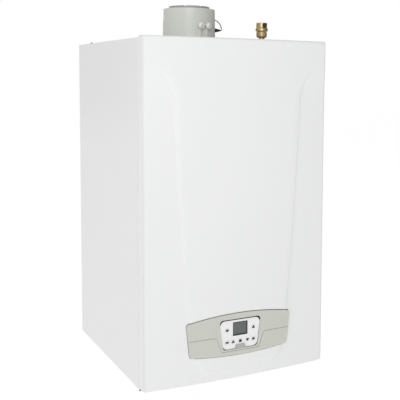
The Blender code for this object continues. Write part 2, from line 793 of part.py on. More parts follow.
def bottom_plate():
    """The floor between the side panels: a tray open downward, with slotted tongues for the screws."""
    low = SHEET + FIT
    front = FRAME_FRONT + SHEET + FIT
    top = BOTTOM_RISE + SHEET
    plate = block("bottom_plate", (-INNER_HALF, front, low), (INNER_HALF, -SHEET - FIT, top), GALVANISED)
    hollow = block(
        "bottom_hollow", (-INNER_HALF + SHEET, front + SHEET, -0.01),
        (INNER_HALF - SHEET, -2 * SHEET - FIT, BOTTOM_RISE),
    )
    boolean(plate, hollow)
    for x in (-SCREW_X, SCREW_X):
        tongue = block(
            f"tongue_{x:+.2f}", (x - TONGUE_WIDTH / 2, screw_y() - 0.006, low),
            (x + TONGUE_WIDTH / 2, front + SHEET / 2, low + SHEET), None, 0.003, 2, 2,
        )
        slot = block(
            f"tongue_slot_{x:+.2f}",
            (x - SCREW_SHANK - FIT, screw_y() - 0.02, -0.01),
            (x + SCREW_SHANK + FIT, screw_y() + SCREW_SHANK + FIT, low + 0.004),
        )
        boolean(plate, tongue, "UNION")
        boolean(plate, slot)
    for name, (x, y), radius in PIPE_EXITS:
        hole = rod(f"exit_{name}", radius + PIPE_CLEARANCE, (x, y, -0.01), (0, 0, 1), 0.04, None, 20)
        boolean(plate, hole)
    return plate


def panel_gasket():
    """A foam frame pressed between the casing's front flanges and the tray's returns."""
    reach = HALF - SHEET - 0.001
    low = GASKET_INSET
    high = SIDE_TOP - SHEET - FIT - 0.0003
    back = FRAME_FRONT - FIT
    gasket = block("panel_gasket", (-reach, back - GASKET_DEPTH, low), (reach, back, high), GREY_FOAM)
    window = block(
        "gasket_window", (-reach + GASKET, back - GASKET_DEPTH - 0.01, low + GASKET),
        (reach - GASKET, back + 0.01, high - GASKET),
    )
    return boolean(gasket, window)


def panel_screw(name, x):
    """A captive screw: a button head under the bottom return, its shank in a tongue's slot."""
    tip = 2 * SHEET + FIT + 0.001
    profile = [
        (0, tip), (SCREW_SHANK, tip), (SCREW_SHANK, -FIT), (SCREW_HEAD, -FIT),
        (SCREW_HEAD, -SCREW_HEAD_HEIGHT * 0.6), (SCREW_HEAD * 0.7, -SCREW_HEAD_HEIGHT),
        (0, -SCREW_HEAD_HEIGHT),
    ]
    hang_on_tilt(turned(name, profile, (x, screw_y(), 0), (0, 0, 1), ZINC, 12))


def keypad_outline(grow, foot=KEYPAD_FOOT):
    """The keypad's rounded outline, wider at the top."""
    corners = [
        (-KEYPAD_FOOT_HALF - grow, foot - grow), (KEYPAD_FOOT_HALF + grow, foot - grow),
        (KEYPAD_TOP_HALF + grow, KEYPAD_TOP + grow), (-KEYPAD_TOP_HALF - grow, KEYPAD_TOP + grow),
    ]
    return rounded(corners, KEYPAD_CORNER + grow, 3)


def fascia():
    """The grey moulded cover: bowed, hollow behind, with its lower corners stepped back."""
    cover = fascia_shape("fascia", 0.0, FASCIA_PROUD, FASCIA_BACK, GREY_FASCIA)
    ahead = FASCIA_PROUD - FASCIA_WALL
    hollow = fascia_shape("fascia_hollow", -FASCIA_WALL, ahead, FASCIA_BACK + 0.01, None)
    boolean(cover, hollow)
    for side in (-1, 1):
        boolean(cover, wing_cutter(f"wing_{side:+d}", side))
    window = prism("keypad_window", keypad_outline(0), 1, *KEYPAD_CUT)
    return boolean(cover, window)


def wing_cutter(name, side):
    """Removes one lower corner's thin step: a grid whose back follows the bow."""
    steps = 5
    foot = FASCIA_FOOT - 0.03
    wide = FASCIA_TOP_HALF + 0.02
    lean = (WING_TOP_HALF - WING_FOOT_HALF) / (WING_TOP - FASCIA_FOOT)
    shape = bmesh.new()
    surfaces = []
    for back in (False, True):
        rows = []
        for z in (foot, WING_TOP):
            start = WING_TOP_HALF - lean * (WING_TOP - z)
            row = []
            for k in range(steps + 1):
                x = start + (wide - start) * k / steps
                y = front_y(x) + WING_STEP - FASCIA_PROUD if back else front_y(0) - 0.02
                row.append(shape.verts.new((x * side, y, z)))
            rows.append(row)
        surfaces.append(rows)
    for rows in surfaces:
        for k in range(steps):
            shape.faces.new((rows[0][k], rows[0][k + 1], rows[1][k + 1], rows[1][k]))
    for front_row, back_row in zip(*surfaces):
        for k in range(steps):
            shape.faces.new((front_row[k], front_row[k + 1], back_row[k + 1], back_row[k]))
    for end in (0, -1):
        shape.faces.new(
            (surfaces[0][0][end], surfaces[0][1][end], surfaces[1][1][end], surfaces[1][0][end])
        )
    return keep(name, shape, None)


def keypad_plate():
    """The white plate sunk in the fascia's window, held by a lip behind the fascia's wall."""
    levels = (
        (-FIT, KEYPAD_FRONT),
        (-FIT, LIP_FRONT),
        (KEYPAD_LIP, LIP_FRONT),
        (KEYPAD_LIP, KEYPAD_BACK),
    )
    rings = [[(x, y, z) for x, z in keypad_outline(grow)] for grow, y in levels]
    plate = loft("keypad_plate", rings, WHITE_PLASTIC)
    opening = prism(
        "display_opening",
        rounded(rectangle((-DISPLAY_HALF, DISPLAY_LOW), (DISPLAY_HALF, DISPLAY_HIGH)), 0.001, 1),
        1, *KEYPAD_CUT,
    )
    boolean(plate, opening)
    for name, (x, z) in KEY_PLACES.items():
        outline = key_outline(x, z, KEY_GAP)
        boolean(plate, prism(f"hole_{name}", outline, 1, *KEYPAD_CUT))
    return plate


def key_outline(x, z, grow):
    """A key's rounded outline about its centre, grown all round."""
    wide = KEY_WIDTH / 2 + grow
    tall = KEY_HEIGHT / 2 + grow
    return rounded(rectangle((x - wide, z - tall), (x + wide, z + tall)), KEY_CORNER + grow, 2)


def key(name, x, z):
    """A push key: a crowned cap in front of the plate and a flange that stops behind it."""
    levels = (
        (-0.0009, KEYPAD_FRONT - KEY_PROUD),
        (0.0, KEYPAD_FRONT - KEY_PROUD + 0.0005),
        (0.0, KEYPAD_BACK + FIT),
        (KEY_FLANGE, KEYPAD_BACK + FIT),
        (KEY_FLANGE, KEYPAD_BACK + FIT + KEY_FLANGE_SHEET),
    )
    middle = Vector((x, KEYPAD_FRONT, z))
    rings = []
    for grow, y in levels:
        ring = [Vector((a, y, b)) - middle for a, b in key_outline(x, z, grow)]
        rings.append([tuple(point) for point in ring])
    cap = loft(name, rings, WHITE_PLASTIC)
    cap.location = middle
    return cap


def control_face():
    """What sits behind the keypad plate: the display, its window, the switch board and the tab."""
    half = DISPLAY_HALF - FIT
    window = rounded(rectangle((-half, DISPLAY_LOW + FIT), (half, DISPLAY_HIGH - FIT)), 0.001, 1)
    prism("display_window", window, 1, KEYPAD_FRONT + 0.0006, KEYPAD_BACK, DARK_DISPLAY)
    key_back = KEYPAD_BACK + FIT + KEY_FLANGE_SHEET
    board_front = key_back + KEY_TRAVEL + FIT + SWITCH_HEIGHT
    half = DISPLAY_HALF + 0.003
    block(
        "display_module", (-half, KEYPAD_BACK + FIT, DISPLAY_LOW - 0.003),
        (half, board_front - FIT, DISPLAY_HIGH + 0.003), BLACK_PLASTIC, 0.0008,
    )
    board = block(
        "switch_board", (-MOUTH_HALF + 0.002, board_front, FASCIA_FOOT + 0.004),
        (MOUTH_HALF - 0.002, board_front + BOARD_SHEET, MOUTH_HIGH - 0.001), GREEN_BOARD,
    )
    for name, (x, z) in KEY_PLACES.items():
        start = (x, board_front + BOARD_SHEET / 2, z)
        reach = BOARD_SHEET / 2 + SWITCH_HEIGHT
        boolean(board, rod(f"switch_{name}", SWITCH_RADIUS, start, (0, -1, 0), reach, None, 8), "UNION")
    foot = KEYPAD_FOOT + FIT
    corners = [
        (-TAB_FOOT_HALF, foot), (TAB_FOOT_HALF, foot), (TAB_TOP_HALF, TAB_TOP), (-TAB_TOP_HALF, TAB_TOP),
    ]
    outline = rounded(corners, 0.0015, 2)
    middle = Vector((0, (foot + TAB_TOP) / 2))
    crown = [tuple(middle + (Vector(point) - middle) * 0.93) for point in outline]
    rings = [
        [(x, KEYPAD_FRONT - FIT, z) for x, z in outline],
        [(x, KEYPAD_FRONT - FIT - 0.0012, z) for x, z in outline],
        [(x, KEYPAD_FRONT - FIT - 0.0017, z) for x, z in crown],
    ]
    loft("keypad_tab", rings, GREY_FASCIA)
    return board_front + BOARD_SHEET


def control_box(board_back):
    """The moulded tray behind the fascia, its lid and the control board inside."""
    front = BOX_FRONT
    low = BOTTOM_RISE + SHEET + FIT
    back = front + BOX_DEPTH
    box = block(
        "control_box", (-BOX_HALF, front, low), (BOX_HALF, back, BOX_TOP), BLACK_PLASTIC, 0.004, 2, 1
    )
    hollow = block(
        "box_hollow", (-BOX_HALF + BOX_WALL, front + BOX_WALL, low + BOX_WALL),
        (BOX_HALF - BOX_WALL, back + 0.01, BOX_TOP - BOX_WALL), None, 0.002, 1, 1,
    )
    boolean(box, hollow)
    mouth = block(
        "box_mouth", (-MOUTH_HALF, front - 0.02, MOUTH_LOW), (MOUTH_HALF, front + 0.02, MOUTH_HIGH)
    )
    boolean(box, mouth)
    for side in (-1, 1):
        pillar = block(
            f"board_pillar_{side:+d}", (side * 0.052 - 0.004, board_back + FIT, 0.096),
            (side * 0.052 + 0.004, front + 0.010, 0.104),
        )
        arm = block(
            f"board_arm_{side:+d}", (side * 0.060 - 0.012, front + 0.0005, 0.094),
            (side * 0.060 + 0.012, front + 0.010, 0.106),
        )
        boolean(pillar, arm, "UNION")
        boolean(box, pillar, "UNION")
    cover = block(
        "control_box_cover", (-BOX_HALF + BOX_WALL + FIT, back - 0.006, low + BOX_WALL + FIT),
        (BOX_HALF - BOX_WALL - FIT, back + 0.002, BOX_TOP - BOX_WALL - FIT), BLACK_PLASTIC, 0.002, 1, 1,
    )
    for k in range(6):
        vent = block(
            f"cover_slot_{k}", (-0.09 + 0.03 * k, back - 0.02, 0.130),
            (-0.09 + 0.03 * k + 0.018, back + 0.02, 0.134),
        )
        boolean(cover, vent)
    face = back - 0.006 - FIT
    board = block("control_board", (-0.150, face - BOARD_SHEET, 0.030), (0.150, face, 0.150), GREEN_BOARD)
    parts = (
        ("transformer", -0.130, 0.045, 0.045, 0.045, 0.035),
        ("relay_bank", -0.060, 0.050, 0.060, 0.018, 0.016),
        ("terminals", 0.020, 0.038, 0.115, 0.020, 0.014),
        ("spark_unit", 0.070, 0.085, 0.050, 0.040, 0.028),
        ("capacitor", -0.040, 0.100, 0.022, 0.022, 0.024),
    )
    for name, x, z, wide, tall, deep in parts:
        root = face - BOARD_SHEET / 2
        part = block(name, (x, root - deep, z), (x + wide, root, z + tall))
        boolean(board, part, "UNION")


def polar(angle, radius, height=0.0):
    """A point about the flue's axis: the angle is measured from the front towards +X."""
    turn = radians(angle)
    return (radius * sin(turn), FLUE_Y - radius * cos(turn), height)


def lead_entry():
    """Where the flue sensor's lead goes down through the top plate, behind the adapter."""
    x, y, _ = polar(142, FLUE_FLANGE + 0.014)
    return x, y


def flue_adapter():
    """The outer moulding: a drafted sleeve on a screwed flange, with webs to the inner socket."""
    foot = SIDE_TOP + FIT
    top = SIDE_TOP + FLUE_TOP
    draft = FLUE_DRAFT
    profile = [
        (FLUE_OUTER - FLUE_WALL, top), (FLUE_OUTER - 0.0012, top), (FLUE_OUTER, top - 0.0012),
        (FLUE_OUTER + draft, foot + 0.005), (FLUE_FLANGE, foot + 0.004), (FLUE_FLANGE, foot),
        (FLUE_OUTER - FLUE_WALL, foot),
    ]
    adapter = turned("flue_adapter", profile, (0, FLUE_Y, 0), (0, 0, 1), GREY_PLASTIC, 36)
    webs = []
    for angle in WEB_ANGLES:
        web = block(
            f"flue_web_{angle}", (SOCKET_OUTER - 0.008 + FIT, -0.0015, foot + 0.001),
            (FLUE_OUTER - 0.001, 0.0015, foot + 0.018),
        )
        webs.append(web)
        place_about_flue(web, angle)
    for angle in PORT_ANGLES.values():
        centre = polar(angle, FLUE_OUTER - 0.002, SIDE_TOP + PORT_HEIGHT)
        outward = polar(angle, 1.0)
        port = turned(
            f"port_{angle:.0f}",
            [(0, 0), (PORT_RADIUS, 0), (PORT_RADIUS, 0.002 + PORT_REACH), (0, 0.002 + PORT_REACH)],
            centre, (outward[0], outward[1] - FLUE_Y, 0), None, 12,
        )
        webs.append(port)
        fin = prism(
            f"port_fin_{angle:.0f}",
            [
                (FLUE_OUTER - 0.002, foot + 0.003),
                (FLUE_OUTER + draft + 0.001, foot + 0.003),
                (FLUE_OUTER + PORT_REACH - 0.0008, SIDE_TOP + PORT_HEIGHT),
                (FLUE_OUTER - 0.002, SIDE_TOP + PORT_HEIGHT),
            ],
            1, -0.0045, 0.0045,
        )
        place_about_flue(fin, angle - 90)
        webs.append(fin)
    rib = prism(
        "flue_rib",
        [
            (FLUE_OUTER - 0.002, foot + 0.003), (FLUE_OUTER + 0.0042, foot + 0.003),
            (FLUE_OUTER + 0.0026, SIDE_TOP + 0.066), (FLUE_OUTER - 0.002, SIDE_TOP + 0.066),
        ],
        1, -0.006, 0.006,
    )
    place_about_flue(rib, RIB_ANGLE - 90)
    webs.append(rib)
    for web in webs:
        boolean(adapter, web, "UNION")
    boolean(adapter, sensor_hole())
    for k in range(4):
        x, y, z = polar(45 + 90 * k + 9, FLUE_FLANGE - 0.0048, foot - 0.01)
        boolean(adapter, rod(f"flange_hole_{k}", 0.0021, (x, y, z), (0, 0, 1), 0.02, None, 8))
    return adapter


def place_about_flue(thing, angle):
    """Turns a piece drawn along +X about the flue's axis; 0 degrees keeps it along +X."""
    thing.location = (0, FLUE_Y, 0)
    thing.rotation_euler = (0, 0, radians(angle))


def sensor_hole():
    """The hole in the adapter's wall that the sensor's boot plugs."""
    start = polar(BOOT_ANGLE, FLUE_OUTER - 0.008, SIDE_TOP + BOOT_HEIGHT)
    outward = polar(BOOT_ANGLE, 1.0)
    return rod("sensor_hole", 0.0042, start, (outward[0], outward[1] - FLUE_Y, 0), 0.03, None, 12)


def flue_inside():
    """The inner socket, its lip seal and the flue pipe that comes up from the collector."""
    top = SIDE_TOP + FLUE_TOP + SOCKET_RISE
    low = SIDE_TOP + 0.005
    neck = clear_of(PIPE_OUTER, 28)
    bore = SOCKET_OUTER - SOCKET_WALL
    profile = [
        (neck, low), (neck + SOCKET_WALL - FIT, low), (neck + SOCKET_WALL - FIT, top - 0.047),
        (SOCKET_OUTER, top - 0.039), (SOCKET_OUTER, top - 0.001), (SOCKET_OUTER - 0.001, top),
        (bore, top), (bore, top - 0.022), (bore, top - 0.036), (neck, top - 0.044),
    ]
    turned("flue_inner_socket", profile, (0, FLUE_Y, 0), (0, 0, 1), GREY_PLASTIC, 28)
    seal = [
        (bore - FIT, top - 0.019), (bore - FIT, top - 0.006), (bore - 0.003, top - 0.005),
        (PIPE_OUTER - 0.0005, top - 0.0125), (PIPE_OUTER - 0.0005, top - 0.0145),
        (bore - 0.003, top - 0.012), (bore - 0.003, top - 0.019),
    ]
    turned("flue_lip_seal", seal, (0, FLUE_Y, 0), (0, 0, 1), BLACK_RUBBER, 28)
    collector_y = -(DRUM_BACK - FIT - COLLECTOR_DEPTH / 2)
    start = DRUM_Z + DRUM_RADIUS + 0.020
    path = bent(
        [
            (0, collector_y, start), (0, collector_y, start + 0.045),
            (0, FLUE_Y, top - 0.1202), (0, FLUE_Y, top - 0.050),
        ],
        0.070, 3,
    )
    tube("flue_pipe", path, PIPE_OUTER, PIPE_OUTER - PIPE_WALL, GREY_PLASTIC, 16)


def test_cap(name, angle):
    """A round-nosed plug over a sampling port, with a coin slot across its face."""
    start = Vector(polar(angle, FLUE_OUTER + PORT_REACH + FIT, SIDE_TOP + PORT_HEIGHT))
    outward = Vector(polar(angle, 1.0)) - Vector((0, FLUE_Y, 0))
    profile = [
        (0, 0), (CAP_RADIUS, 0), (CAP_RADIUS, CAP_DEPTH * 0.55), (CAP_RADIUS * 0.88, CAP_DEPTH * 0.88),
        (CAP_RADIUS * 0.60, CAP_DEPTH), (0, CAP_DEPTH),
    ]
    cap = turned(name, profile, (0, 0, 0), outward, WHITE_PLASTIC, 18)
    cap.location = start
    slot = block(
        f"slot_{name}", (-0.0007, -0.0055, CAP_DEPTH - 0.0016), (0.0007, 0.0055, CAP_DEPTH + 0.003)
    )
    slot.location = start
    facing = outward.to_track_quat("Z", "Y").to_matrix().to_4x4()
    slot.rotation_euler = (facing @ Matrix.Rotation(0.5, 4, "Z")).to_euler()
    return boolean(cap, slot)


def flue_sensor():
    """A rubber boot plugged into the adapter's side, with a thin lead looped back behind it."""
    height = SIDE_TOP + BOOT_HEIGHT
    start = polar(BOOT_ANGLE, FLUE_OUTER - FLUE_WALL - 0.002, height)
    outward = Vector(polar(BOOT_ANGLE, 1.0)) - Vector((0, FLUE_Y, 0))
    profile = [
        (0, 0), (0.0038, 0), (0.0038, 0.0066), (0.0050, 0.0066), (0.0048, 0.011),
        (0.0036, 0.013), (0.0024, 0.005 + BOOT_REACH), (0, 0.005 + BOOT_REACH),
    ]
    turned("flue_sensor_boot", profile, start, outward, BLACK_RUBBER, 12)
    reach = FLUE_OUTER - FLUE_WALL - 0.002 + 0.005 + BOOT_REACH + FIT
    route = [
        polar(BOOT_ANGLE, reach, height),
        polar(BOOT_ANGLE, reach + 0.0022, height),
        polar(BOOT_ANGLE + 2.5, reach + 0.0035, height + 0.006),
        polar(BOOT_ANGLE + 5, reach + 0.0015, height + 0.015),
        polar(BOOT_ANGLE + 9, reach - 0.004, height + 0.023),
        polar(BOOT_ANGLE + 18, reach - 0.0085, height + 0.028),
        polar(BOOT_ANGLE + 32, reach - 0.0105, height + 0.027),
        polar(BOOT_ANGLE + 46, reach - 0.010, height + 0.017),
        polar(BOOT_ANGLE + 56, reach - 0.002, height + 0.004),
        (*lead_entry(), SIDE_TOP + 0.018),
        (*lead_entry(), SIDE_TOP + 0.006),
        (*lead_entry(), SIDE_TOP - 0.006),
        (*lead_entry(), SIDE_TOP - 0.030),
    ]
    tube("flue_sensor_lead", smooth_route(route, 2), LEAD_RADIUS, 0, BLACK_RUBBER, 6)
    x, y = lead_entry()
    grommet("lead_grommet", x, y, LEAD_HOLE, LEAD_HOLE + 0.0022, LEAD_RADIUS + 2 * FIT, 12)


def smooth_route(points, steps):
    """A smooth curve through all the points, each stretch a cubic that heads along its neighbours."""
    points = [Vector(point) for point in points]
    path = []
    for k in range(len(points) - 1):
        a = points[max(k - 1, 0)]
        b = points[k]
        c = points[k + 1]
        d = points[min(k + 2, len(points) - 1)]
        for j in range(steps):
            t = j / steps
            bend = (2 * a - 5 * b + 4 * c - d) * t ** 2
            twist = (3 * b - a - 3 * c + d) * t ** 3
            path.append(0.5 * (2 * b + (c - a) * t + bend + twist))
    path.append(points[-1])
    return path


def air_vent():
    """The brass float vent on its riser, and the black screw cap on its side outlet."""
    foot = VENT_FOOT
    top = foot + VENT_TOP
    profile = [
        (0, foot), (VENT_NECK, foot), (VENT_NECK, foot + 0.0055), (VENT_BODY * 0.93, foot + 0.010),
        (VENT_BODY, foot + 0.011), (VENT_BODY, foot + 0.0195), (VENT_BODY - 0.0012, foot + 0.0200),
        (VENT_BODY - 0.0012, foot + 0.0212), (VENT_BODY, foot + 0.0220), (VENT_BODY, top - 0.0012),
        (VENT_BODY - 0.0012, top), (0, top),
    ]
    body = turned("air_vent_body", profile, (VENT_X, VENT_Y, 0), (0, 0, 1), BRASS, 18)
    hexagon = turned(
        "vent_hexagon",
        [
            (0, foot + 0.0216), (VENT_COLLAR, foot + 0.0216), (VENT_COLLAR + 0.0013, foot + 0.0232),
            (VENT_COLLAR + 0.0013, foot + 0.0268), (VENT_COLLAR, foot + 0.0306), (0, foot + 0.0306),
        ],
        (VENT_X, VENT_Y, 0), (0, 0, 1), None, 12,
    )
    boolean(body, hexagon, "UNION")
    centre = (VENT_X, VENT_Y, top - VENT_SPIGOT_DROP)
    spigot = rod("vent_spigot", 0.0035, centre, (0, -1, 0), VENT_BODY + 0.004, None, 12)
    boolean(body, spigot, "UNION")
    depth = VENT_CAP_DEPTH
    cap_profile = [
        (0.0035 + FIT, 0), (VENT_CAP_RADIUS - 0.0006, 0), (VENT_CAP_RADIUS, 0.0006),
        (VENT_CAP_RADIUS, depth - 0.0012), (VENT_CAP_RADIUS - 0.0012, depth), (0, depth),
        (0, 0.004 + 2 * FIT), (0.0035 + FIT, 0.004 + 2 * FIT),
    ]
    cap = turned("air_vent_cap", cap_profile, (0, 0, 0), (0, -1, 0), BLACK_PLASTIC, 16)
    cap.location = (VENT_X, VENT_Y - VENT_BODY - FIT, top - VENT_SPIGOT_DROP)
    riser_start = (HEADER_OUT - 0.010, VENT_Y, HEADER_TOP + FIT)
    path = bent(
        [riser_start, (riser_start[0], VENT_Y, HEADER_TOP + 0.045), (VENT_X, VENT_Y, HEADER_TOP + 0.085),
         (VENT_X, VENT_Y, foot - FIT)],
        0.030, 3,
    )
    tube("vent_riser", path, VENT_NECK - 0.0004, VENT_NECK - 0.0016, COPPER, 10)
    grommet("vent_grommet", VENT_X, VENT_Y, GROMMET_NECK, GROMMET_RIM, VENT_NECK + FIT)


def heat_exchanger():
    """The stack of flattened coil turns in a ribbed shell, open in front for the burner."""
    pitch = (DRUM_BACK - DRUM_FRONT) / DRUM_TURNS
    profile = [(DRUM_BORE, DRUM_FRONT), (DRUM_RADIUS, DRUM_FRONT)]
    for k in range(1, DRUM_TURNS):
        groove = DRUM_FRONT + pitch * k
        profile.append((DRUM_RADIUS, groove - pitch * 0.2))
        profile.append((DRUM_RADIUS - DRUM_GROOVE, groove))
        profile.append((DRUM_RADIUS, groove + pitch * 0.2))
    profile += [(DRUM_RADIUS, DRUM_BACK), (0, DRUM_BACK), (0, DRUM_BACK + 0.006)]
    profile.append((DRUM_BORE, DRUM_BACK + 0.006))
    drum = turned("heat_exchanger", profile, (0, 0, DRUM_Z), (0, -1, 0), STAINLESS, 18)
    front = WATER_Y - 0.085
    back = WATER_Y + 0.020
    for side, low, high in ((1, HEADER_TOP - 0.045, HEADER_TOP), (-1, HEADER_LOW, HEADER_LOW + 0.04)):
        near, far = sorted((side * (DRUM_RADIUS - 0.018), side * HEADER_OUT))
        name = f"header_{side:+d}"
        boolean(drum, block(name, (near, front, low), (far, back, high), None, 0.004, 1, 1), "UNION")
    return drum


def burner_assembly():
    """The cast door with its inlet chamber, the burner tube behind it and the spark electrode."""
    front = -(DRUM_FRONT + FIT)
    door = turned(
        "burner_door",
        [
            (0, 0), (DOOR_RADIUS, 0), (DOOR_RADIUS, DOOR_SHEET - 0.004),
            (DOOR_RADIUS - 0.004, DOOR_SHEET),
            (DOOR_RADIUS - 0.020, DOOR_SHEET), (DOOR_RADIUS - 0.026, DOOR_SHEET - 0.004),
            (DOOR_RADIUS - 0.065, DOOR_SHEET - 0.004), (DOOR_RADIUS - 0.073, DOOR_SHEET), (0, DOOR_SHEET),
        ],
        (0, front, DRUM_Z), (0, -1, 0), CAST_ALUMINIUM, 28,
    )
    chamber = block(
        "door_chamber", (-0.036, front - 0.060, DRUM_Z - 0.036), (0.036, front - 0.006, CHAMBER_TOP),
        None, 0.008, 2, 1,
    )
    boolean(door, chamber, "UNION")
    passage = block(
        "door_passage", (-0.026, front - 0.054, DRUM_Z - 0.026),
        (0.026, front - 0.016, CHAMBER_TOP - 0.006),
    )
    inlet = rod("door_inlet", 0.017, (0, DUCT_Y, CHAMBER_TOP - 0.02), (0, 0, 1), 0.04, None, 16)
    boolean(passage, inlet, "UNION")
    mouth = rod("door_mouth", 0.024, (0, front - 0.03, DRUM_Z), (0, 1, 0), 0.06, None, 20)
    boolean(passage, mouth, "UNION")
    boolean(door, passage)
    for k in range(6):
        turn = radians(60 * k + 30)
        reach = DOOR_RADIUS - 0.011
        centre = (reach * cos(turn), front - DOOR_SHEET + 0.001, DRUM_Z + reach * sin(turn))
        boolean(door, rod(f"door_nut_{k}", 0.0065, centre, (0, -1, 0), 0.007, None, 6), "UNION")
    burner_start = (0, front + FIT, DRUM_Z)
    profile = [
        (BURNER_RADIUS - 0.002, 0), (BURNER_RADIUS + 0.010, 0), (BURNER_RADIUS + 0.010, 0.002),
        (BURNER_RADIUS, 0.002), (BURNER_RADIUS, BURNER_LENGTH - 0.004),
        (BURNER_RADIUS - 0.004, BURNER_LENGTH),
        (0, BURNER_LENGTH), (0, BURNER_LENGTH - 0.002), (BURNER_RADIUS - 0.002, BURNER_LENGTH - 0.006),
    ]
    turned("burner_tube", profile, burner_start, (0, 1, 0), STAINLESS, 18)
    x = DRUM_BORE - 0.018
    z = DRUM_Z + 0.030
    boolean(door, rod("electrode_hole", 0.0026, (x, front - 0.03, z), (0, 1, 0), 0.06, None, 10))
    seat = DOOR_SHEET - 0.004 + FIT
    pin = [
        (0, -0.030), (0.0019, -0.030), (0.0019, seat), (0.0075, seat),
        (0.0075, DOOR_SHEET + 0.002), (0.0045, DOOR_SHEET + 0.004), (0.0045, DOOR_SHEET + 0.024),
        (0.0025, DOOR_SHEET + 0.026), (0.0025, DOOR_SHEET + 0.032), (0, DOOR_SHEET + 0.032),
    ]
    turned("spark_electrode", pin, (x, front, z), (0, -1, 0), CERAMIC, 8)


def scroll(inset):
    """The fan's spiral outline, seen from the front: it grows clockwise into the outlet duct."""
    start = radians(-50)
    outline = []
    steps = 18
    for k in range(steps + 1):
        turn = start - (2 * pi + start) * k / steps
        radius = SCROLL_START + SCROLL_GROWTH * k / steps - inset
        outline.append((FAN_X + radius * cos(turn), FAN_Z + radius * sin(turn)))
    outer = FAN_X + SCROLL_START + SCROLL_GROWTH - inset
    inner = FAN_X + SCROLL_START + SCROLL_GROWTH - OUTLET_WIDTH + inset
    foot = FAN_Z - OUTLET_DROP - (0.01 if inset else 0)
    outline.append((outer, foot))
    outline.append((inner, foot))
    return outline


def fan():
    """The premix fan: a scroll with an open eye, its wheel, the motor behind and the mixer in front."""
    housing = prism("fan_housing", scroll(0), 1, FAN_FRONT, FAN_BACK, CAST_ALUMINIUM)
    hollow = prism("fan_hollow", scroll(FAN_WALL), 1, FAN_FRONT + FAN_WALL, FAN_BACK - FAN_WALL)
    boolean(housing, hollow)
    for name, radius, y in (("fan_eye", FAN_EYE, FAN_FRONT), ("shaft_hole", 0.0055, FAN_BACK)):
        boolean(housing, rod(name, radius, (FAN_X, y - 0.01, FAN_Z), (0, 1, 0), 0.02, None, 20))
    back = FAN_BACK - FAN_WALL - 0.0025
    wheel = turned(
        "fan_wheel",
        [
            (0, 0), (IMPELLER_RADIUS, 0), (IMPELLER_RADIUS, 0.002), (0.016, 0.002),
            (0.010, 0.012), (0, 0.012),
        ],
        (FAN_X, back, FAN_Z), (0, -1, 0), CAST_ALUMINIUM, 18,
    )
    boolean(wheel, fan_blades(back), "UNION")
    shroud = turned(
        "wheel_shroud",
        [
            (FAN_EYE - 0.001, 0.0300), (IMPELLER_RADIUS, 0.0300), (IMPELLER_RADIUS, 0.0320),
            (FAN_EYE - 0.001, 0.0320),
        ],
        (FAN_X, back, FAN_Z), (0, -1, 0), None, 18,
    )
    boolean(wheel, shroud, "UNION")
    shaft = rod("wheel_shaft", 0.004, (FAN_X, back - 0.001, FAN_Z), (0, 1, 0), 0.0105, None, 16)
    boolean(wheel, shaft, "UNION")
    set_origin(wheel, (FAN_X, back, FAN_Z))
    motor_profile = [
        (0.0043, FIT), (0.030, FIT), (0.030, 0.004), (0.044, 0.008), (0.044, 0.040), (0.038, 0.046),
        (0, 0.046), (0, 0.012), (0.0043, 0.012),
    ]
    turned("fan_motor", motor_profile, (FAN_X, FAN_BACK, FAN_Z), (0, 1, 0), BLACK_PLASTIC, 18)
    mixer_profile = [
        (FAN_EYE, FIT), (0.040, FIT), (0.040, 0.005), (0.034, 0.006), (0.034, MIXER_DEPTH - 0.001),
        (0.026, MIXER_DEPTH), (0.019, 0.016),
    ]
    mixer = turned("mixer", mixer_profile, (FAN_X, FAN_FRONT, FAN_Z), (0, -1, 0), CAST_ALUMINIUM, 18)
    boss = rod("mixer_boss", 0.0095, (FAN_X + 0.030, FEED_Y, FAN_Z), (1, 0, 0), 0.014, None, 14)
    boolean(mixer, boss, "UNION")
    seat = FAN_FRONT - MIXER_DEPTH - FIT
    silencer = block(
        "air_silencer", (FAN_X - 0.060, SILENCER_FRONT, FAN_Z - 0.045),
        (FAN_X + 0.050, seat, FAN_Z + 0.090), BLACK_PLASTIC, 0.006, 2, 1,
    )
    cavity = block(
        "silencer_cavity", (FAN_X - 0.057, SILENCER_FRONT + 0.003, FAN_Z - 0.042),
        (FAN_X + 0.047, seat - 0.003, FAN_Z + 0.12),
    )
    port = rod("silencer_port", 0.025, (FAN_X, seat - 0.008, FAN_Z), (0, 1, 0), 0.02, None, 18)
    boolean(silencer, cavity)
    boolean(silencer, port)
    duct_x = FAN_X + SCROLL_START + SCROLL_GROWTH - OUTLET_WIDTH / 2
    start = FAN_Z - OUTLET_DROP - FIT
    path = bent(
        [(duct_x, DUCT_Y, start), (duct_x, DUCT_Y, start - 0.026), (0, DUCT_Y, CHAMBER_TOP + 0.028),
         (0, DUCT_Y, CHAMBER_TOP + FIT)],
        0.024, 3,
    )
    tube("mixture_duct", path, 0.0205, 0.018, CAST_ALUMINIUM, 12)


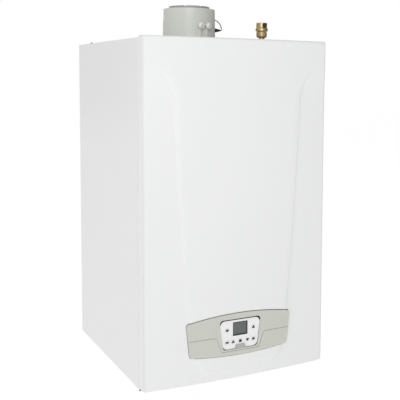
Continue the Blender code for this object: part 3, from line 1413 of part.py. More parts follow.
def fan_blades(back):
    """Backward-curved blades, each an arc from near the hub to the rim, carried from disc to shroud."""
    shape = bmesh.new()
    steps = 2
    hub = FAN_EYE - 0.002
    rim = IMPELLER_RADIUS - 0.0015
    for number in range(IMPELLER_BLADES):
        turn = 2 * pi * (number + 0.37) / IMPELLER_BLADES
        outline = []
        for side in (1, -1):
            for k in range(steps + 1):
                share = k / steps if side > 0 else 1 - k / steps
                radius = hub + (rim - hub) * share
                lean = turn + radians(38) * share
                x = radius * cos(lean) - side * 0.0006 * sin(lean)
                z = radius * sin(lean) + side * 0.0006 * cos(lean)
                outline.append((FAN_X + x, FAN_Z + z))
        near = [shape.verts.new((x, back - 0.001, z)) for x, z in outline]
        far = [shape.verts.new((x, back - 0.031, z)) for x, z in outline]
        count = len(outline)
        for k in range(count):
            following = (k + 1) % count
            shape.faces.new((near[k], near[following], far[following], far[k]))
        shape.faces.new(near)
        shape.faces.new(far)
    return keep("fan_blades", shape, None)


def set_origin(thing, place):
    """Moves an object's origin onto its axis without moving its mesh."""
    thing.data.transform(Matrix.Translation(-Vector(place)))
    thing.location = place


def gas_train():
    """The valve block with its two coils, the pipe up from the connector and the feed to the mixer."""
    valve = block(
        "gas_valve", (GAS_X - 0.034, GAS_Y - 0.030, VALVE_LOW), (GAS_X + 0.034, GAS_Y + 0.030, VALVE_TOP),
        CAST_ALUMINIUM, 0.004,
    )
    for k, shift in enumerate((-0.017, 0.017)):
        start = (GAS_X + shift, GAS_Y - 0.029, VALVE_LOW + 0.043)
        boolean(valve, rod(f"coil_{k}", 0.0145, start, (0, -1, 0), 0.035, None, 14), "UNION")
    tube(
        "gas_inlet_pipe", bent([(GAS_X, GAS_Y, -PIPE_DROP), (GAS_X, GAS_Y, VALVE_LOW - FIT)], 0.02),
        GAS_PIPE, GAS_PIPE - 0.0015, COPPER, 12,
    )
    x = GAS_X + 0.018
    level = VALVE_TOP + 0.060
    end = FAN_X + 0.044 + FIT
    path = bent(
        [(x, GAS_Y, VALVE_TOP + FIT), (x, GAS_Y, level), (x, FEED_Y, level), (x, FEED_Y, FAN_Z),
         (end, FEED_Y, FAN_Z)],
        0.022, 3,
    )
    tube("gas_feed_pipe", path, FEED_PIPE, FEED_PIPE - 0.001, COPPER, 8)


def water_pipes():
    """Flow on the right and return on the left, from the headers down through the floor."""
    heights = (("flow_pipe", 1, HEADER_TOP - 0.022), ("return_pipe", -1, HEADER_LOW + 0.020))
    for name, side, height in heights:
        path = bent(
            [(side * (HEADER_OUT + FIT), WATER_Y, height), (side * WATER_X, WATER_Y, height),
             (side * WATER_X, WATER_Y, -PIPE_DROP)],
            0.024, 3,
        )
        tube(name, path, WATER_PIPE, WATER_PIPE - 0.002, COPPER, 16)
    profile = [
        (0, 0), (0.009, 0), (0.009, 0.008), (0.013, 0.010), (0.013, 0.026), (0.006, 0.028),
        (0.006, 0.034), (0, 0.034),
    ]
    seat = (-WATER_X, WATER_Y - WATER_PIPE - FIT, SENSOR_Z)
    turned("pressure_sensor", profile, seat, (0, -1, 0), BLACK_PLASTIC, 14)


def flue_collector():
    """The moulded hood behind the coils: it turns the flue gas up and drains the condensate."""
    depth = COLLECTOR_DEPTH
    middle = -(DRUM_BACK - FIT - depth / 2)
    hood = turned(
        "flue_collector",
        [
            (0, 0), (DRUM_RADIUS, 0), (DRUM_RADIUS, depth - 0.012),
            (DRUM_RADIUS - 0.012, depth), (0, depth),
        ],
        (0, -(DRUM_BACK - FIT), DRUM_Z), (0, 1, 0), GREY_PLASTIC, 28,
    )
    boss = rod("flue_boss", 0.046, (0, middle, DRUM_Z + 0.03), (0, 0, 1), DRUM_RADIUS + 0.004, None, 28)
    drain = rod("drain_boss", 0.011, (0, middle, DRUM_Z - 0.05), (0, 0, -1), DRUM_RADIUS - 0.036, None, 16)
    boolean(hood, boss, "UNION")
    boolean(hood, drain, "UNION")
    seat = DRUM_Z + DRUM_RADIUS + 0.020 - FIT
    channel = turned(
        "flue_channel",
        [
            (0, DRUM_Z - 0.02), (PIPE_OUTER - PIPE_WALL, DRUM_Z - 0.02), (PIPE_OUTER - PIPE_WALL, seat),
            (clear_of(PIPE_OUTER, 24), seat), (clear_of(PIPE_OUTER, 24), seat + 0.05), (0, seat + 0.05),
        ],
        (0, middle, 0), (0, 0, 1), None, 24, 0.5,
    )
    boolean(hood, channel)
    boolean(hood, rod("drain_bore", 0.007, (0, middle, DRUM_Z - 0.01), (0, 0, -1), 0.2, None, 12))
    return middle


def condensate(middle):
    """The trap under the drum, its hose from the collector and its spigot through the floor."""
    floor = BOTTOM_RISE + SHEET
    top = TRAP_TOP
    ring = 0.060 + (top - 0.060) * 0.26
    profile = [
        (0.006, -PIPE_DROP), (DRAIN_RADIUS, -PIPE_DROP), (DRAIN_RADIUS, floor + FIT), (0.020, floor + FIT),
        (0.020, floor + 0.004), (DRAIN_RADIUS, floor + 0.006), (DRAIN_RADIUS, 0.045),
        (0.028, 0.060), (0.030, ring), (0.034, ring + 0.002), (0.034, ring + 0.014), (0.030, ring + 0.016),
        (0.030, top - 0.006), (0.026, top), (0.0095, top), (0.0095, top - 0.065), (0.006, top - 0.070),
    ]
    turned("condensate_trap", profile, (DRAIN_X, DRAIN_Y, 0), (0, 0, 1), GREY_PLASTIC, 14)
    start = DRUM_Z - DRUM_RADIUS - 0.014 - FIT
    path = bent(
        [(0, middle, start), (0, middle, start - 0.030), (DRAIN_X, DRAIN_Y, top + 0.030),
         (DRAIN_X, DRAIN_Y, top - 0.020)],
        0.022, 3,
    )
    tube("condensate_hose", path, 0.0090, 0.0070, BLACK_RUBBER, 10)


def drum_rails():
    """Two rails bolted to the rear frame; the drum and the collector lie between their faces."""
    for name, side in (("drum_rail_left", -1), ("drum_rail_right", 1)):
        back = -(TRAY_SETBACK + SHEET + FIT)
        rail = block(
            name, (-0.013, -(DRUM_FRONT - 0.010), -0.003), (0.013, back, 0), GALVANISED
        )
        turn = radians(42) * side
        reach = DRUM_RADIUS + FIT
        rail.location = (reach * sin(turn), 0, DRUM_Z - reach * cos(turn))
        rail.rotation_euler = (0, -turn, 0)
        foot = block(
            f"foot_{name}", (-0.022, back - 0.003, -0.050), (0.022, back, 0.004), None, 0.004, 2, 1
        )
        foot.location = rail.location
        boolean(rail, foot, "UNION")


side_panel("side_panel_left", -1)
side_panel("side_panel_right", 1)
rear_frame()
wall_bracket()
top_plate()
bottom_plate()
front_panel()
panel_gasket()
panel_screw("panel_screw_left", -SCREW_X)
panel_screw("panel_screw_right", SCREW_X)
fascia()
keypad_plate()
for key_name, place in KEY_PLACES.items():
    key(key_name, *place)
board_back = control_face()
control_box(board_back)
flue_adapter()
flue_inside()
for cap_name, cap_angle in PORT_ANGLES.items():
    test_cap(cap_name, cap_angle)
flue_sensor()
air_vent()
heat_exchanger()
burner_assembly()
fan()
gas_train()
water_pipes()
condensate(flue_collector())
drum_rails()
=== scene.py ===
import bmesh
import bpy
import numpy as np
from mathutils import Matrix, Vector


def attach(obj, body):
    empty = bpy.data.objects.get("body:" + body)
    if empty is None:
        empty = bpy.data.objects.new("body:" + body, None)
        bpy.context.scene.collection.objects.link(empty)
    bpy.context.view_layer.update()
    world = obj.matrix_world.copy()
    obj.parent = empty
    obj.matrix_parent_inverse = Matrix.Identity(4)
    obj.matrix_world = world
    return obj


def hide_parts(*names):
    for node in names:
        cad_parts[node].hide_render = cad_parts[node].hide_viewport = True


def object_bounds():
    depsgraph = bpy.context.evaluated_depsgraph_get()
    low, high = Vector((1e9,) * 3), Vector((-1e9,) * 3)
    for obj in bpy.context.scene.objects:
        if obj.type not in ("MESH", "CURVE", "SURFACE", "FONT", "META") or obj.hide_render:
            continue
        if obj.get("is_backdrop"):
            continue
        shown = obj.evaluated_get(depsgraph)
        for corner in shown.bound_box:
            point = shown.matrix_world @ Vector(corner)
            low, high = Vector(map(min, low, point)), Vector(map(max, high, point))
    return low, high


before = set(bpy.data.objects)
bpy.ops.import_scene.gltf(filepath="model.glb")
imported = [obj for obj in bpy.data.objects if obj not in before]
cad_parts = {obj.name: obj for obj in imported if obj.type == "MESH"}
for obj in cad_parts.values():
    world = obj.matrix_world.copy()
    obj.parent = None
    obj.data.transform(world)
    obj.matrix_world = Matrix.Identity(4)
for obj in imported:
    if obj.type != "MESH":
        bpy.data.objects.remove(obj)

cad_low, cad_high = (np.array(corner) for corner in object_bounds())

# Camera.
# It stands in front of the casing's left edge, level with the upper part of the front, and looks
# slightly down. The photograph keeps the uprights nearly parallel, so part of the framing is a shift.
picture = 400
focal = 786.84
optical_centre = (280.0, 148.0)
sensor = 36.0
eye = np.array([-0.7706, -2.0663, -0.0468])
yaw, pitch, roll = np.radians([-29.087, 4.845, 0.572])
ahead = np.array([-np.sin(yaw) * np.cos(pitch), np.cos(yaw) * np.cos(pitch), -np.sin(pitch)])
level = np.array([np.cos(yaw), np.sin(yaw), 0.0])
upright = np.cross(level, ahead)
across = level * np.cos(roll) + upright * np.sin(roll)
above = upright * np.cos(roll) - level * np.sin(roll)


def facing(aside, upwards, backwards, place):
    """The matrix that gives an object these three directions as its axes, at this place."""
    turn = np.eye(4)
    turn[:3] = np.stack([aside, upwards, backwards, place], axis=1)
    return Matrix(turn.tolist())


lens = bpy.data.cameras.new("camera")
lens.sensor_width = sensor
lens.lens = focal / picture * sensor
lens.shift_x = (picture / 2 - optical_centre[0]) / picture
lens.shift_y = (optical_centre[1] - picture / 2) / picture
camera = bpy.data.objects.new("camera", lens)
camera.matrix_world = facing(across, above, -ahead, eye)
bpy.context.scene.collection.objects.link(camera)
bpy.context.scene.camera = camera

# Studio: a plain white floor a little under the hanging casing, an even white surround and one large
# soft lamp at the front left. The lamp makes the front a shade brighter than the side. The surround
# shows as plain white but lights the casing less, and least from the right, so that forms stay readable.
floor_drop = 0.9
floor_reach = 30.0
floor_glow = 0.40
surround_light = 0.755
right_dimming = 0.72
dimming_from, dimming_to = -0.1, 0.95
lamp_power = 20.0
lamp_place = np.array([-0.9, -2.4, 0.9])
lamp_target = np.array([-0.1, -0.4, -0.3])
studio = bpy.context.scene
studio.view_settings.view_transform = "Standard"
studio.world = bpy.data.worlds.new("surround")
studio.world.use_nodes = True
surround = studio.world.node_tree
lit = surround.nodes["Background"]
lit.inputs["Color"].default_value = (1, 1, 1, 1)
heading = surround.nodes.new("ShaderNodeTexCoord")
heading_parts = surround.nodes.new("ShaderNodeSeparateXYZ")
dimmer = surround.nodes.new("ShaderNodeMapRange")
dimmer.interpolation_type = "SMOOTHSTEP"
dimmed_light = surround_light * (1 - right_dimming)
for socket, value in ((1, dimming_from), (2, dimming_to), (3, surround_light), (4, dimmed_light)):
    dimmer.inputs[socket].default_value = value
surround.links.new(heading.outputs["Generated"], heading_parts.inputs[0])
surround.links.new(heading_parts.outputs["X"], dimmer.inputs[0])
surround.links.new(dimmer.outputs[0], lit.inputs["Strength"])
seen = surround.nodes.new("ShaderNodeBackground")
seen.inputs["Color"].default_value = (1, 1, 1, 1)
choice = surround.nodes.new("ShaderNodeMixShader")
ray = surround.nodes.new("ShaderNodeLightPath")
surround.links.new(ray.outputs["Is Camera Ray"], choice.inputs[0])
surround.links.new(lit.outputs[0], choice.inputs[1])
surround.links.new(seen.outputs[0], choice.inputs[2])
surround.links.new(choice.outputs[0], surround.nodes["World Output"].inputs["Surface"])
floor_mesh = bpy.data.meshes.new("floor")
floor_z = cad_low[2] - floor_drop
ways = ((-1, -1), (1, -1), (1, 1), (-1, 1))
floor_mesh.from_pydata([(x * floor_reach, y * floor_reach, floor_z) for x, y in ways], [], [(0, 1, 2, 3)])
floor = bpy.data.objects.new("floor", floor_mesh)
studio.collection.objects.link(floor)
floor_paint = bpy.data.materials.new("floor_paint")
floor_paint.use_nodes = True
floor_shader = floor_paint.node_tree.nodes["Principled BSDF"]
floor_shader.inputs["Base Color"].default_value = (0.97, 0.97, 0.97, 1)
floor_shader.inputs["Roughness"].default_value = 0.9
floor_shader.inputs["Emission Color"].default_value = (1, 1, 1, 1)
floor_shader.inputs["Emission Strength"].default_value = floor_glow
floor_mesh.materials.append(floor_paint)
floor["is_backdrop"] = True
lamp_light = bpy.data.lights.new("soft_lamp", "AREA")
lamp_light.shape = "RECTANGLE"
lamp_light.size = 1.2
lamp_light.size_y = 1.0
lamp_light.energy = lamp_power
lamp = bpy.data.objects.new("soft_lamp", lamp_light)
lamp_back = (lamp_place - lamp_target) / np.linalg.norm(lamp_place - lamp_target)
lamp_side = np.cross([0, 0, 1.0], lamp_back)
lamp_side /= np.linalg.norm(lamp_side)
lamp.matrix_world = facing(lamp_side, np.cross(lamp_back, lamp_side), lamp_back, lamp_place)
studio.collection.objects.link(lamp)

# Casing sheets.
# The side panels are folded from steel sheet and powder coated white; the lid, floor and rear frame
# between them are bare zinc-coated sheet, and the casing hangs on a zinc-plated wall bracket.
class Wire:
    """One output of a shader node. Arithmetic on wires and numbers adds the maths node that does it."""

    def __init__(self, finish, socket):
        self.finish = finish
        self.socket = socket

    def maths(self, operation, first, second):
        return self.finish.node("ShaderNodeMath", {"operation": operation}, {0: first, 1: second})

    def __radd__(self, other):
        return self.maths("ADD", other, self)

    def __sub__(self, other):
        return self.maths("SUBTRACT", self, other)

    def __mul__(self, other):
        return self.maths("MULTIPLY", self, other)


class Finish:
    """A surface finish: a Principled material with plain values, and varying ones fed from its nodes."""

    def __init__(self, name, **plain):
        self.material = bpy.data.materials.new(name)
        self.material.use_nodes = True
        self.tree = self.material.node_tree
        self.shader = self.tree.nodes["Principled BSDF"]
        for socket, value in plain.items():
            self.shader.inputs[socket.replace("_", " ").title().replace("Ior", "IOR")].default_value = value

    def node(self, kind, settings, sockets, out=0):
        """Adds a node of this kind, applies its settings, feeds its sockets and gives one output."""
        made = self.tree.nodes.new(kind)
        for name, value in settings.items():
            setattr(made, name, value)
        for name, value in sockets.items():
            self.feed(made.inputs[name], value)
        return Wire(self, made.outputs[out])

    def feed(self, socket, value):
        """Links a wire to the socket, or sets the plain value on it."""
        if isinstance(value, Wire):
            self.tree.links.new(value.socket, socket)
        else:
            socket.default_value = value

    def place(self):
        """The point's own position on the piece, in metres."""
        return self.node("ShaderNodeTexCoord", {}, {}, "Object")

    def noise(self, scale, detail=3.0, stretch=(1, 1, 1)):
        """Cloudy noise of about one patch in 1 / scale metres, drawn out along an axis by its stretch."""
        spread = self.node("ShaderNodeMapping", {}, {"Vector": self.place(), "Scale": stretch})
        sockets = {"Vector": spread, "Scale": scale, "Detail": detail}
        return self.node("ShaderNodeTexNoise", {}, sockets, "Fac")

    def cells(self, scale, out="Distance"):
        """Crystal-like cells of about 1 / scale metres."""
        return self.node("ShaderNodeTexVoronoi", {}, {"Vector": self.place(), "Scale": scale}, out)

    def between(self, share, first, second):
        """The colour that lies this share of the way from the first colour, or wire, to the second."""
        colours = {0: share, 6: first if isinstance(first, Wire) else (*first, 1), 7: (*second, 1)}
        return self.node("ShaderNodeMix", {"data_type": "RGBA"}, colours, 2)

    def colour(self, share, first, second):
        self.feed(self.shader.inputs["Base Color"], self.between(share, first, second))

    def roughness(self, wire):
        self.feed(self.shader.inputs["Roughness"], wire)

    def relief(self, height, depth):
        """Bumps the surface by the height wire, its full range being this depth in metres."""
        bump = self.node("ShaderNodeBump", {}, {"Height": height, "Distance": depth}, "Normal")
        self.feed(self.shader.inputs["Normal"], bump)


def coat(finish, *names):
    """Puts a finish on CAD nodes, through their objects' own material slots."""
    for name in names:
        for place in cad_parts[name].material_slots:
            place.link = "OBJECT"
            place.material = finish.material


# The side panels' white is a shade darker than the front panel's white: painted shade on the sides.
shaded_side_enamel = Finish("white_enamel", specular_ior_level=0.5)
shaded_side_enamel.colour(shaded_side_enamel.noise(5.0), (0.733, 0.738, 0.735), (0.748, 0.753, 0.750))
shaded_side_enamel.roughness(0.27 + shaded_side_enamel.noise(40.0) * 0.06)
shaded_side_enamel.relief(shaded_side_enamel.noise(700.0, 2.0), 0.00003)
coat(shaded_side_enamel, "side_panel_left", "side_panel_right")

galvanised = Finish("galvanised_sheet", metallic=0.9)
galvanised.colour(galvanised.cells(110.0, "Color"), (0.52, 0.53, 0.55), (0.68, 0.69, 0.70))
galvanised.roughness(0.30 + galvanised.noise(150.0) * 0.25)
galvanised.relief(galvanised.cells(110.0), 0.00005)
coat(galvanised, "top_plate", "bottom_plate", "rear_frame", "drum_rail_left", "drum_rail_right")

zinc = Finish("zinc_plating", metallic=1.0)
zinc.colour(zinc.noise(60.0), (0.64, 0.66, 0.70), (0.76, 0.77, 0.78))
zinc.roughness(0.25 + zinc.noise(400.0) * 0.20)
zinc.relief(zinc.noise(900.0), 0.00003)
coat(zinc, "wall_bracket", "panel_screw_left", "panel_screw_right")

# Front panel.
# One steel sheet pressed into a bowed tray: a shield outline stands 2.5 mm proud of its rim, the rim
# turns back over a 5 mm bend, and a lens-shaped hole low down lets the fascia through. Its white is
# painted darker on the bends as painted shade. It hangs on the lid's upstand by its top return.
wall_plane = 0.7195
half_width = 0.225
casing_high = 0.766
bow = 0.011
front_middle = -0.505
return_back = -0.468
tray_bend = 0.005
sheet = 0.0011
emboss_height = 0.0025
emboss_slope = 0.003


def bowed(x):
    """Depth of the front at x: the middle's depth, less the bow times the square of x over the half width."""
    return front_middle + bow * (x / half_width) ** 2


def curve_through(start, pull, end, share):
    """Points of a quadratic curve: the blend (1-t)^2, 2t(1-t) and t^2 of its start, pull point and end."""
    t = share[:, None]
    return (1 - t) ** 2 * np.array(start) + 2 * t * (1 - t) * np.array(pull) + t**2 * np.array(end)


def skin(name, points, faces, finish, sharp=30.0):
    """A mesh object from points and faces, shaded smooth except where its faces meet at over this angle."""
    mesh = bpy.data.meshes.new(name)
    mesh.from_pydata(np.asarray(points, float).tolist(), [], faces)
    shape = bmesh.new()
    shape.from_mesh(mesh)
    bmesh.ops.remove_doubles(shape, verts=shape.verts, dist=1e-6)
    bmesh.ops.recalc_face_normals(shape, faces=shape.faces)
    shape.to_mesh(mesh)
    shape.free()
    mesh.shade_smooth()
    mesh.set_sharp_from_angle(angle=np.radians(sharp))
    mesh.materials.append(finish.material)
    piece = bpy.data.objects.new(name, mesh)
    bpy.context.scene.collection.objects.link(piece)
    return piece


def grid_faces(rows, columns, first=0, ring=False):
    """Four-sided faces between the points of a grid; a ring also joins its last column to its first."""
    row, column = np.meshgrid(np.arange(rows - 1), np.arange(columns if ring else columns - 1), indexing="ij")
    near = first + row * columns + column
    following = first + row * columns + (column + 1) % columns
    return np.stack([near, following, following + columns, near + columns], axis=-1).reshape(-1, 4).tolist()


def settle(piece, smooth=30.0):
    """Applies the piece's modifiers to its mesh."""
    graph = bpy.context.evaluated_depsgraph_get()
    mesh = bpy.data.meshes.new_from_object(piece.evaluated_get(graph))
    piece.modifiers.clear()
    piece.data = mesh
    mesh.shade_smooth()
    mesh.set_sharp_from_angle(angle=np.radians(smooth))


def cut(piece, tool, operation="DIFFERENCE"):
    """Adds the Boolean that cuts the piece with a tool, or joins the two."""
    change = piece.modifiers.new("cut_" + tool.name, "BOOLEAN")
    change.operation = operation
    change.object = tool
    change.solver = "EXACT"


def discard(*tools):
    """Removes tools that have done their cutting."""
    for tool in tools:
        bpy.data.objects.remove(tool)


def shield_rows():
    """The shield's edge from the bottom centre to the top: a line, three quadratic curves and a line. The rim
    point, the point on the centreline and the share of the emboss that belong to each of its points are
    straight blends between a few stations along it."""
    chin = (0.078, 0.0285)
    foot = (0.111, 0.068)
    flank = (0.1525, 0.645)
    flare = (0.207, 0.720)
    top = casing_high - tray_bend
    reach = half_width - tray_bend
    steps = np.linspace(0, 1, 17)
    edge = np.concatenate([
        np.stack([chin[0] * steps, 0.0275 + 0.001 * steps], axis=1),
        curve_through(chin, (0.101, 0.033), foot, steps)[1:],
        curve_through(foot, (0.1366, 0.299), flank, np.linspace(0, 1, 49))[1:],
        curve_through(flank, (0.1585, 0.677), flare, np.linspace(0, 1, 41))[1:],
        np.stack([np.full(9, flare[0]), np.linspace(flare[1], top, 9)], axis=1)[1:],
    ])
    rows = np.arange(len(edge))
    station = np.interp(
        rows, [0, 16, 32, 80, 120, 128],
        [0, 0.8 * reach, reach + foot[1] - tray_bend, reach + flank[1] - tray_bend,
         reach + flare[1] - tray_bend, reach + top - tray_bend],
    )
    corner = int(np.argmin(abs(station - reach)))
    station[corner] = reach
    rim = np.stack([np.minimum(station, reach), tray_bend + np.maximum(station - reach, 0)], axis=1)
    centre = np.interp(rows, [0, 32, 80, 120, 128], [0.165, 0.213, flank[1], flare[1], top])
    fade = np.interp(rows, [0, 80, 86, 92, 100, 108, 116, 128], [1, 1, 0.95, 0.85, 0.55, 0.22, 0, 0])
    return edge, rim, centre, fade, corner


def front_panel():
    """Each row runs from the centreline to the shield's edge, down a cosine step to the rim's level and on
    to the rim. A second grid carries the outermost points round the bend: outward by the sine and back by
    one less the cosine of the turn, and then straight back to the return's end."""
    edge, rim, centre, fade, corner = shield_rows()
    run = np.gradient(edge, axis=0)
    run /= np.linalg.norm(run, axis=1)[:, None]
    foot = edge + np.stack([run[:, 1], -run[:, 0]], axis=1) * emboss_slope
    foot[0] = (0, edge[0, 1] - emboss_slope)
    foot[-1, 1] = rim[-1, 1]
    inner = np.linspace(0, 1, 15)[:-1]
    slope = np.linspace(0, 1, 9)
    outer = np.linspace(0, 1, 9)[1:]
    middle = np.stack([np.zeros(len(edge)), centre], axis=1)
    stretches = [
        middle[:, None] + (edge - middle)[:, None] * inner[:, None],
        edge[:, None] + (foot - edge)[:, None] * slope[:, None],
        foot[:, None] + (rim - foot)[:, None] * outer[:, None],
    ]
    flat = np.concatenate(stretches, axis=1)
    drop = np.concatenate([inner * 0, (1 - np.cos(np.pi * slope)) / 2, outer * 0 + 1])
    level = bowed(flat[..., 0]) + emboss_height * fade[:, None] * drop
    front = np.stack([flat[..., 0], level, flat[..., 1] - wall_plane], axis=-1)

    lowest = [(point, -90.0) for point in front[:corner, -1]]
    turned_corner = [(front[corner, -1], angle) for angle in np.linspace(-90, 0, 9)]
    upright = [(point, 0.0) for point in front[corner + 1:, -1]]
    top_corner = [(front[-1, -1], angle) for angle in np.linspace(0, 90, 9)[1:]]
    top_edge = [(point, 90.0) for point in front[-1, -2::-1]]
    walk = lowest + turned_corner + upright + top_corner + top_edge
    start = np.array([point for point, _ in walk])
    heading = np.radians([angle for _, angle in walk])
    turns = np.linspace(0, np.pi / 2, 8)
    rings = []
    for turn in turns:
        out = tray_bend * np.sin(turn)
        back = tray_bend * (1 - np.cos(turn))
        shift = np.stack([out * np.cos(heading), heading * 0 + back, out * np.sin(heading)], axis=1)
        rings.append(start + shift)
    last = rings[-1].copy()
    last[:, 1] = return_back
    rings.append(last)
    rings = np.array(rings)

    points = np.concatenate([front.reshape(-1, 3), rings.reshape(-1, 3)])
    faces = grid_faces(*front.shape[:2])
    faces += grid_faces(*rings.shape[:2], first=front.shape[0] * front.shape[1])
    mirrored = points * (-1, 1, 1)
    faces += [[corner + len(points) for corner in face] for face in faces]
    return skin("front_panel_sheet", np.concatenate([points, mirrored]), faces, pressed, 50)


def corner_arc(corner, arrive, leave, radius, steps=8):
    """The arc that rounds a corner between two directions: its centre lies along their bisector, the radius
    over the sine of half their angle away."""
    arrive = arrive / np.linalg.norm(arrive)
    leave = leave / np.linalg.norm(leave)
    half = np.arccos(np.clip(arrive @ leave, -1, 1)) / 2
    centre = corner + (arrive + leave) / np.linalg.norm(arrive + leave) * radius / np.sin(half)
    first, last = (corner + way * radius / np.tan(half) - centre for way in (arrive, leave))
    turn = np.arctan2(first[1], first[0])
    sweep = (np.arctan2(last[1], last[0]) - turn + np.pi) % (2 * np.pi) - np.pi
    turn = turn + sweep * np.linspace(0, 1, steps + 1)
    return centre + radius * np.stack([np.cos(turn), np.sin(turn)], axis=1)


def lens_rows(form, grow=0.0, middle=0.0, steps=30):
    """The top and foot rows of an outline about a middle, which may be wider at the top. Each edge is arched
    by its arch times one less the square of the way across, each corner is rounded, and all is grown."""
    top_half, foot_half, top, foot, corner, top_arch, foot_arch = form
    rows = []
    for half, other, edge, arch, out in (
        (top_half + grow, foot_half + grow, top + grow, top_arch, 1),
        (foot_half + grow, top_half + grow, foot - grow, foot_arch, -1),
    ):
        point = np.array([-half, edge])
        down = np.array([half - other, -(top - foot) * out])
        inward = np.array([1.0, 2 * arch / half])
        arc = corner_arc(point, down, inward, corner + grow)
        reach = 0.985 * abs(arc[-1, 0]) / half
        across = np.linspace(-reach, reach, steps + 1)
        edge_line = np.stack([half * across, edge + arch * (1 - across**2)], axis=1)
        rows.append(np.concatenate([arc, edge_line, (arc * (-1, 1))[::-1]]) + (middle, 0))
    return rows


def plate_body(name, levels, finish, depth_steps=8, sharp=35.0):
    """A closed body between a first and a last face. Each level is a top row, a foot row and a depth, which
    may be a function of x; a face is the straight blend from its top row to its foot row."""
    grids = []
    share = np.linspace(0, 1, depth_steps + 1)[:, None, None]
    for top_row, foot_row, depth in levels:
        flat = top_row + (foot_row - top_row) * share
        y = depth(flat[..., 0]) if callable(depth) else np.full(flat.shape[:2], depth)
        grids.append(np.stack([flat[..., 0], y, flat[..., 1] - wall_plane], axis=-1))
    loops = np.array([
        np.concatenate([grid[0], grid[1:, -1], grid[-1, -2::-1], grid[-2:0:-1, 0]]) for grid in grids
    ])
    points = [loops.reshape(-1, 3), grids[0].reshape(-1, 3), grids[-1].reshape(-1, 3)]
    first_cap = loops.shape[0] * loops.shape[1]
    rows, columns = grids[0].shape[:2]
    faces = grid_faces(*loops.shape[:2], ring=True) + grid_faces(rows, columns, first=first_cap)
    faces += grid_faces(rows, columns, first=first_cap + rows * columns)
    return skin(name, np.concatenate(points), faces, finish, sharp)


hole_form = (0.1303, 0.1223, 0.1401, 0.0623, 0.008, 0.013, -0.0075)
hole_back = -0.4845
clear_front = -0.53
bend_start = (0.0050, 0.0030)
bend_end = (0.0004, 0.0001)
pressed = Finish("front_enamel", specular_ior_level=0.5)
spot = pressed.node("ShaderNodeSeparateXYZ", {}, {"Vector": pressed.place()})
aside = pressed.node("ShaderNodeMath", {"operation": "ABSOLUTE"}, {0: spot})
reached = []
for far, near in (bend_start, bend_end):
    sockets = {"Value": aside, "From Min": half_width - far, "From Max": half_width - near}
    reached.append(pressed.node("ShaderNodeMapRange", {}, sockets))
# Painted shade: on the band of the side bends the white is mixed towards a darker grey.
on_bend = reached[0] - reached[1]
coat_white = pressed.between(pressed.noise(5.0), (0.748, 0.753, 0.752), (0.763, 0.768, 0.767))
painted_bend_shade = pressed.between(on_bend, coat_white, (0.672, 0.677, 0.677))
pressed.feed(pressed.shader.inputs["Base Color"], painted_bend_shade)
pressed.roughness(0.27 + pressed.noise(40.0) * 0.06)
pressed.relief(pressed.noise(700.0, 2.0), 0.00003)
front_sheet = front_panel()
tray_wall = front_sheet.modifiers.new("sheet", "SOLIDIFY")
tray_wall.thickness = sheet
tray_wall.offset = -1
tray_wall.use_even_offset = True
hole_rows = lens_rows(hole_form)
fascia_hole = plate_body("fascia_hole", [(*hole_rows, clear_front), (*hole_rows, hole_back)], pressed)
cut(front_sheet, fascia_hole)
settle(front_sheet, 35)
discard(fascia_hole)
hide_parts("front_panel")
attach(front_sheet, "front_panel_body")

# Fascia.
# A moulded cover of fine-textured warm grey plastic, 3 mm thick, that follows the front's bow. Its lower
# flap stands 2 mm proud; the line above it runs in from both ends and dips round and under the keypad.
fascia_form = (0.1295, 0.1215, 0.1385, 0.0635, 0.007, 0.013, -0.0075)
fascia_proud = 0.002
fascia_wall = 0.003
fascia_back = -0.4853
fascia_round = 0.001
flap_step = 0.0008
line_width = 0.0006
line_depth = 0.0012
above_fascia = 0.17
clear_back = -0.47
keypad_form = (0.0520, 0.0430, 0.1388, 0.0695, 0.008, 0.0, 0.0)


def proud(x):
    """Depth of the flap's face: the front's depth less how far the fascia stands proud."""
    return bowed(x) - fascia_proud


def dipping_line(shift=0.0):
    """The line's points from one end to the other: level, down beside the keypad, level under it and up
    again, each bend rounded by an arc. The whole line may be shifted upwards, square to its run."""
    corners = np.array([(-0.150, 0.1005), (-0.0595, 0.1005), (-0.0475, 0.0655), (0, 0.0655)])
    first, second = (
        corner_arc(corners[k], corners[k - 1] - corners[k], corners[k + 1] - corners[k], radius)
        for k, radius in ((1, 0.009), (2, 0.007))
    )
    level = np.linspace(corners[0], first[0], 16)[:-1]
    slope = np.linspace(first[-1], second[0], 8)[1:-1]
    half = np.concatenate([level, first, slope, second, np.linspace(second[-1], corners[3], 10)[1:]])
    run = np.gradient(half, axis=0)
    run[-1] = (1, 0)
    half = half + shift * np.stack([-run[:, 1], run[:, 0]], axis=1) / np.linalg.norm(run, axis=1)[:, None]
    return np.concatenate([half, (half * (-1, 1))[-2::-1]])


grey = Finish("grey_fascia", specular_ior_level=0.45)
grey.colour(grey.noise(30.0), (0.520, 0.530, 0.482), (0.550, 0.560, 0.512))
grey.roughness(0.42 + grey.noise(2500.0, 1.0) * 0.14)
grey.relief(grey.noise(2200.0, 2.0), 0.00005)

face_levels = [(*lens_rows(fascia_form), fascia_back)]
for turn in np.linspace(np.pi / 2, 0, 5):
    inward, back = fascia_round * (1 - np.sin(turn)), fascia_round * (1 - np.cos(turn))
    face_levels.append((*lens_rows(fascia_form, -inward), lambda x, back=back: proud(x) + back))
cover = plate_body("fascia_cover", face_levels, grey, 12)
inner_rows = lens_rows(fascia_form, -fascia_wall)
line_row = dipping_line()
above = np.stack([line_row[:, 0], np.full(len(line_row), above_fascia)], axis=1)
keypad_rows = lens_rows(keypad_form)
groove_row = dipping_line(line_width)
inside = [(*inner_rows, clear_back), (*inner_rows, lambda x: proud(x) + fascia_wall)]
step = [(above, line_row, clear_front), (above, line_row, lambda x: proud(x) + flap_step)]
groove = [
    (groove_row, line_row, clear_front), (groove_row, line_row, lambda x: proud(x) + flap_step + line_depth),
]
window = [(*keypad_rows, clear_front), (*keypad_rows, clear_back)]
